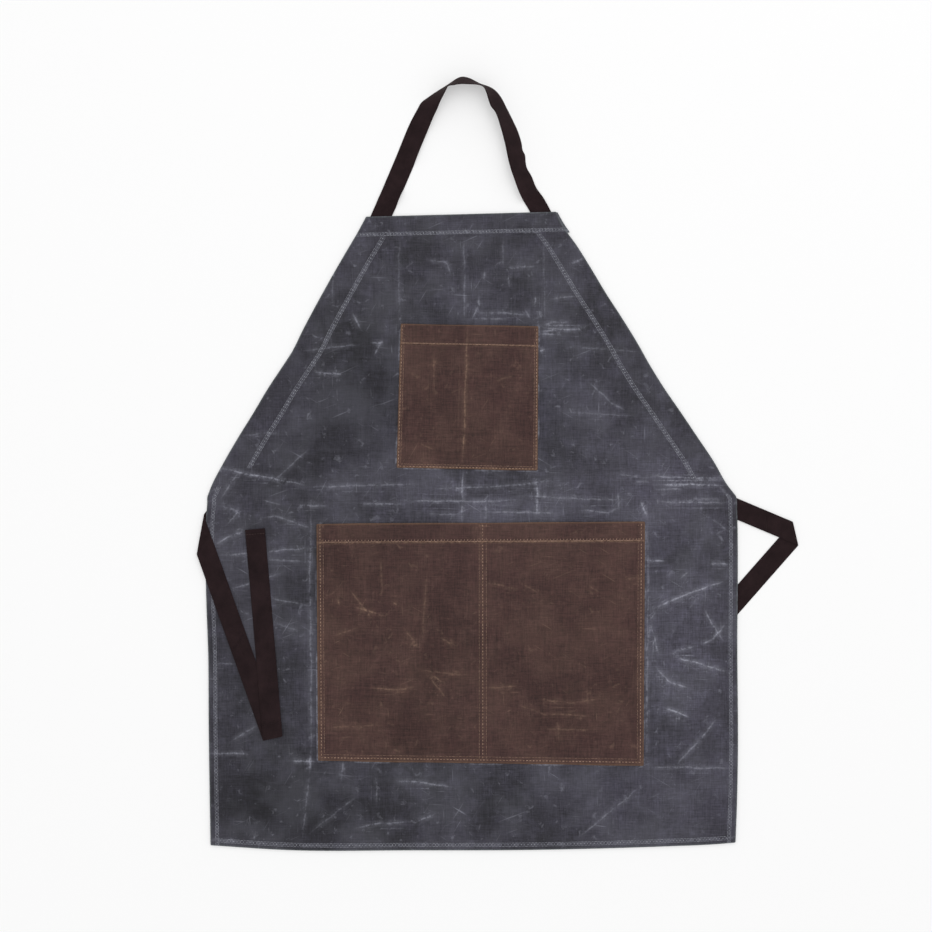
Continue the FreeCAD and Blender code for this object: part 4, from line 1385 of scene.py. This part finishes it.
# %% Right tie
right_heights = (
    ((0, 1.5), (right_runs[0], 1.5)),
    ((0, 0.45), (right_runs[1], 0.45)),
)
right_place, right_folds, right_total = lay_tape(right_tie_root, right_runs, right_headings, right_heights)
right_cut = 60.0
right_pieces = tie_pieces(
    ("right_tie_to_hem", "right_tie_turn"), (0.0, right_cut, right_total), right_place, right_folds)
at = np.linspace(right_total - tie_hem, right_total - 0.2, 5)
right_end_turn = tape_piece("right_tie_end_turn", right_place, at, at * 0, low=-1.24, high=-0.44)
right_end_row = end_stitches("right_tie_end_row", right_place, right_total - 6.5, -1.30, 1.0)
print("right tie", round(right_total, 1), "mm")

# %% [markdown]
# ## Neck strap
# The strap's two ends are sewn behind the top hem and its middle turns over at the crown, so the tape rolls
# from lying flat to standing on its outer edge and back. A flat tape can do that only by twisting, so the
# strap is given as its two edges: the outer one stays near the table, and the inner one rises just as far
# as the tape's width asks. Stations are (outer across, outer up, inner across, inner up) from the middle of
# the top edge.

# %% Strap stations
strap_edges = (
    (-128.6, -22, -103.2, -22), (-118.5, 0, -93.5, -6), (-104, 32, -81.5, 22), (-95.3, 53, -72.6, 42),
    (-86.5, 73.5, -63.5, 64), (-78.1, 94.4, -54.8, 86), (-69.4, 115.2, -46.7, 105.3),
    (-58.7, 136, -36.7, 127.7), (-52.7, 146, -31.8, 137.6), (-50.9, 147.6, -30.8, 139.8),
    (-46.5, 150.6, -28.7, 144), (-37.7, 156.8, -25, 150.5), (-28, 163, -22, 155.8),
    (-19, 168.6, -17.8, 162.5), (-13, 172.8, -12.5, 163.4), (-7.3, 176.6, -7, 164.7),
    (-1, 178.8, -1, 165.4), (8.9, 177.1, 8.5, 165), (17.4, 172.9, 17, 164.3), (23.8, 169.6, 23.3, 163.2),
    (30, 167.6, 27.5, 160.8), (37.9, 164.4, 31, 154), (44.2, 159.5, 33.3, 147), (49.9, 152.4, 36.3, 138.8),
    (56.9, 139, 42.9, 129.2), (65.4, 122, 48.7, 113), (72.4, 106.5, 53.2, 97.6), (76.7, 92.4, 56, 86.3),
    (78.8, 81.5, 58.4, 74.4), (80.9, 78, 59.3, 70.7), (82, 68, 60.8, 64), (83.5, 60.5, 63.3, 55),
    (89.4, 50, 67.8, 43), (95.7, 34.6, 73.8, 27), (107, 18.4, 82, 13), (114.8, 4.2, 89.5, 0),
    (126.5, -20.5, 102, -23.8),
)
top_middle = (top_left + top_right) / 2
stations = np.array(strap_edges)
run = np.linalg.norm(np.diff((stations[:, :2] + stations[:, 2:]) / 2, axis=0), axis=1)
strap_at = np.concatenate([[0], np.cumsum(run)])
fine_at = np.linspace(0, strap_at[-1], 240)
edges = [curve_through(np.column_stack([strap_at, column]), fine_at) for column in stations.T]
edges = np.stack(edges, axis=1)


def smoothed(values, width):
    """Values averaged over neighbours, ends kept."""
    kernel = np.hanning(width + 2)[1:-1]
    padded = np.concatenate([np.repeat(values[:1], width // 2), values, np.repeat(values[-1:], width // 2)])
    return np.convolve(padded, kernel / kernel.sum(), "valid")


outer, inner = edges[:, :2], edges[:, 2:]
flat_width = np.minimum(np.linalg.norm(inner - outer, axis=1), TAPE_W)
lean_height = np.sqrt(np.maximum(TAPE_W ** 2 - flat_width ** 2, 0))
# A lean under 5.2 mm is laid flat, and the step that this makes is eased away above it.
leaning = lean_height - 2.6 * np.exp(-(lean_height - 5.2) / 3)
lean_height = smoothed(np.where(lean_height < 5.2, 0, leaning), 3)
way = np.where(np.linalg.norm(inner - outer, axis=1)[:, None] > 0.5, inner - outer, [[0.3, -0.9]])
way = unit(way)
for k in (0, 1):
    way[:, k] = smoothed(way[:, k], 5)
way = unit(way)
near_hem = np.minimum(outer[:, 1], inner[:, 1])
lean_height = lean_height * ease(near_hem, 1, 12)
rest_height = 0.5 + 1.0 * (1 - ease(near_hem, 8, 60))
reach_in = np.sqrt(TAPE_W ** 2 - np.minimum(lean_height, TAPE_W - 0.05) ** 2)
middle = (outer + inner) / 2 + top_middle
print("strap's crown stands", round(float(lean_height.max()), 1), "mm high; length", round(strap_at[-1], 1))

# %% Strap mesh
points, fields = [], []
share = np.linspace(-0.5, 0.5, 9)
ways_along = unit(np.gradient(middle, axis=0))
for k, length in enumerate(fine_at):
    rise = lean_height[k] / TAPE_W
    cross = np.array([way[k, 0] * reach_in[k] / TAPE_W, way[k, 1] * reach_in[k] / TAPE_W, rise])
    along = np.array([*ways_along[k], 0.0])
    normal = np.cross(cross, along)
    normal *= (1 if normal[2] > 0 or rise > 0.6 and normal @ [0, 1, 0] > 0 else -1) / np.linalg.norm(normal)
    if k and normal @ last_normal < 0:
        normal = -normal
    last_normal = normal
    base = np.array([*middle[k], rest_height[k] + lean_height[k] / 2])
    for side in (1, -1):
        for w in share[::side]:
            selvedge = 0.10 if abs(w) > 0.49 else 0.0
            points.append(base + cross * w * TAPE_W + normal * side * (TAPE / 2 - selvedge))
            fields.append((length, w * TAPE_W, 40.0 * (side > 0)))
        points.append(base + cross * (0.5 * TAPE_W + 0.2) * side)
        fields.append((length, side * (TAPE_W / 2 + 0.2), 0.0))
neck_strap = new_piece("neck_strap_tape", points, strip_faces(len(fine_at)), dark_tape, rest_mm=fields)
neck_strap.data.validate()
print("strap mesh", len(points), "points")

# %% [markdown]
# ## Joining the pieces to the bodies
# The bib folds over the skirt at the waist, but the pieces that cross the waist, the strap and most of the
# ties are left here as they lie in the frame. All other pieces ride on one body. Each piece stands for its
# CAD nodes, which are hidden.

# %% Bodies, nodes and slots


bends = (
    (body_cloth, "charcoal_canvas", ("skirt_panel", "bib_panel")),
    (hem_pieces["left"], "charcoal_canvas", ("side_hem_left", "bib_facing_left")),
    (hem_pieces["right"], "charcoal_canvas", ("side_hem_right", "bib_facing_right")),
    (seam_pieces["side_left_seam"], "pale_thread", ("side_left_stitching",)),
    (seam_pieces["side_right_seam"], "pale_thread", ("side_right_stitching",)),
)
for piece, slot, nodes in bends:
    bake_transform(piece)
    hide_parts(*nodes)

rides = (
    (hem_pieces["bottom"], "skirt", "charcoal_canvas", ("bottom_hem",)),
    (hem_pieces["top"], "bib", "charcoal_canvas", ("top_hem",)),
    (seam_pieces["bottom_hem_seam"], "skirt", "pale_thread", ("bottom_hem_stitching",)),
    (seam_pieces["top_hem_seam"], "bib", "pale_thread", ("top_hem_stitching",)),
    (seam_pieces["bib_left_seam"], "bib", "pale_thread", ("bib_left_stitching",)),
    (seam_pieces["bib_right_seam"], "bib", "pale_thread", ("bib_right_stitching",)),
    (chest_cloth, "bib", "brown_canvas", ("chest_pocket",)),
    (chest_band, "bib", "brown_canvas", ("chest_pocket_band",)),
    (chest_seam, "bib", "tan_thread", ("chest_pocket_stitching",)),
    (chest_band_seam, "bib", "tan_thread", ("chest_pocket_band_stitching",)),
    (lower_cloth, "skirt", "brown_canvas", ("lower_pocket",)),
    (lower_band, "skirt", "brown_canvas", ("lower_pocket_band",)),
    (lower_seam, "skirt", "tan_thread", ("lower_pocket_stitching",)),
    (lower_band_seam, "skirt", "tan_thread", ("lower_pocket_band_stitching",)),
    (lower_divider_seam, "skirt", "tan_thread", ("lower_pocket_divider_stitching",)),
    (left_pieces["left_tie_tail"], "left_tie_end", "cotton_tape", ("left_tie_end",)),
    (left_end_turn, "left_tie_end", "cotton_tape", ("left_tie_end_hem",)),
    (left_end_row, "left_tie_end", "cotton_tape", ("left_tie_end_stitching",)),
    (right_end_turn, "right_tie_end", "cotton_tape", ("right_tie_end_hem",)),
    (right_end_row, "right_tie_end", "cotton_tape", ("right_tie_end_stitching",)),
)
for piece, body, slot, nodes in rides:
    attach(piece, body)
    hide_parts(*nodes)

strap_out = np.array([-(top_right - top_left)[1], (top_right - top_left)[0]])
strap_out /= np.linalg.norm(strap_out)
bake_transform(neck_strap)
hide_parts("neck_strap", "neck_strap_end_left", "neck_strap_end_right")
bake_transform(left_pieces["left_tie_to_hem"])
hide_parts("left_tie_root")
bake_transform(left_pieces["left_tie_turn"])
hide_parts("left_tie_middle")
edge_u = float(right_edge(-20))
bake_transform(right_pieces["right_tie_to_hem"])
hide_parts("right_tie_root")
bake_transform(right_pieces["right_tie_turn"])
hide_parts("right_tie_middle", "right_tie_end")

# %% [markdown]
# ## Cloth pieces
# All the cloth pieces are made by this point.

# %% All pieces made
print("cloth pieces made")

# %% Both boxes, then the end
visual_box = [list(corner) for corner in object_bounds()]
print("visual box in mm:", [[round(c / MM, 1) for c in corner] for corner in visual_box])
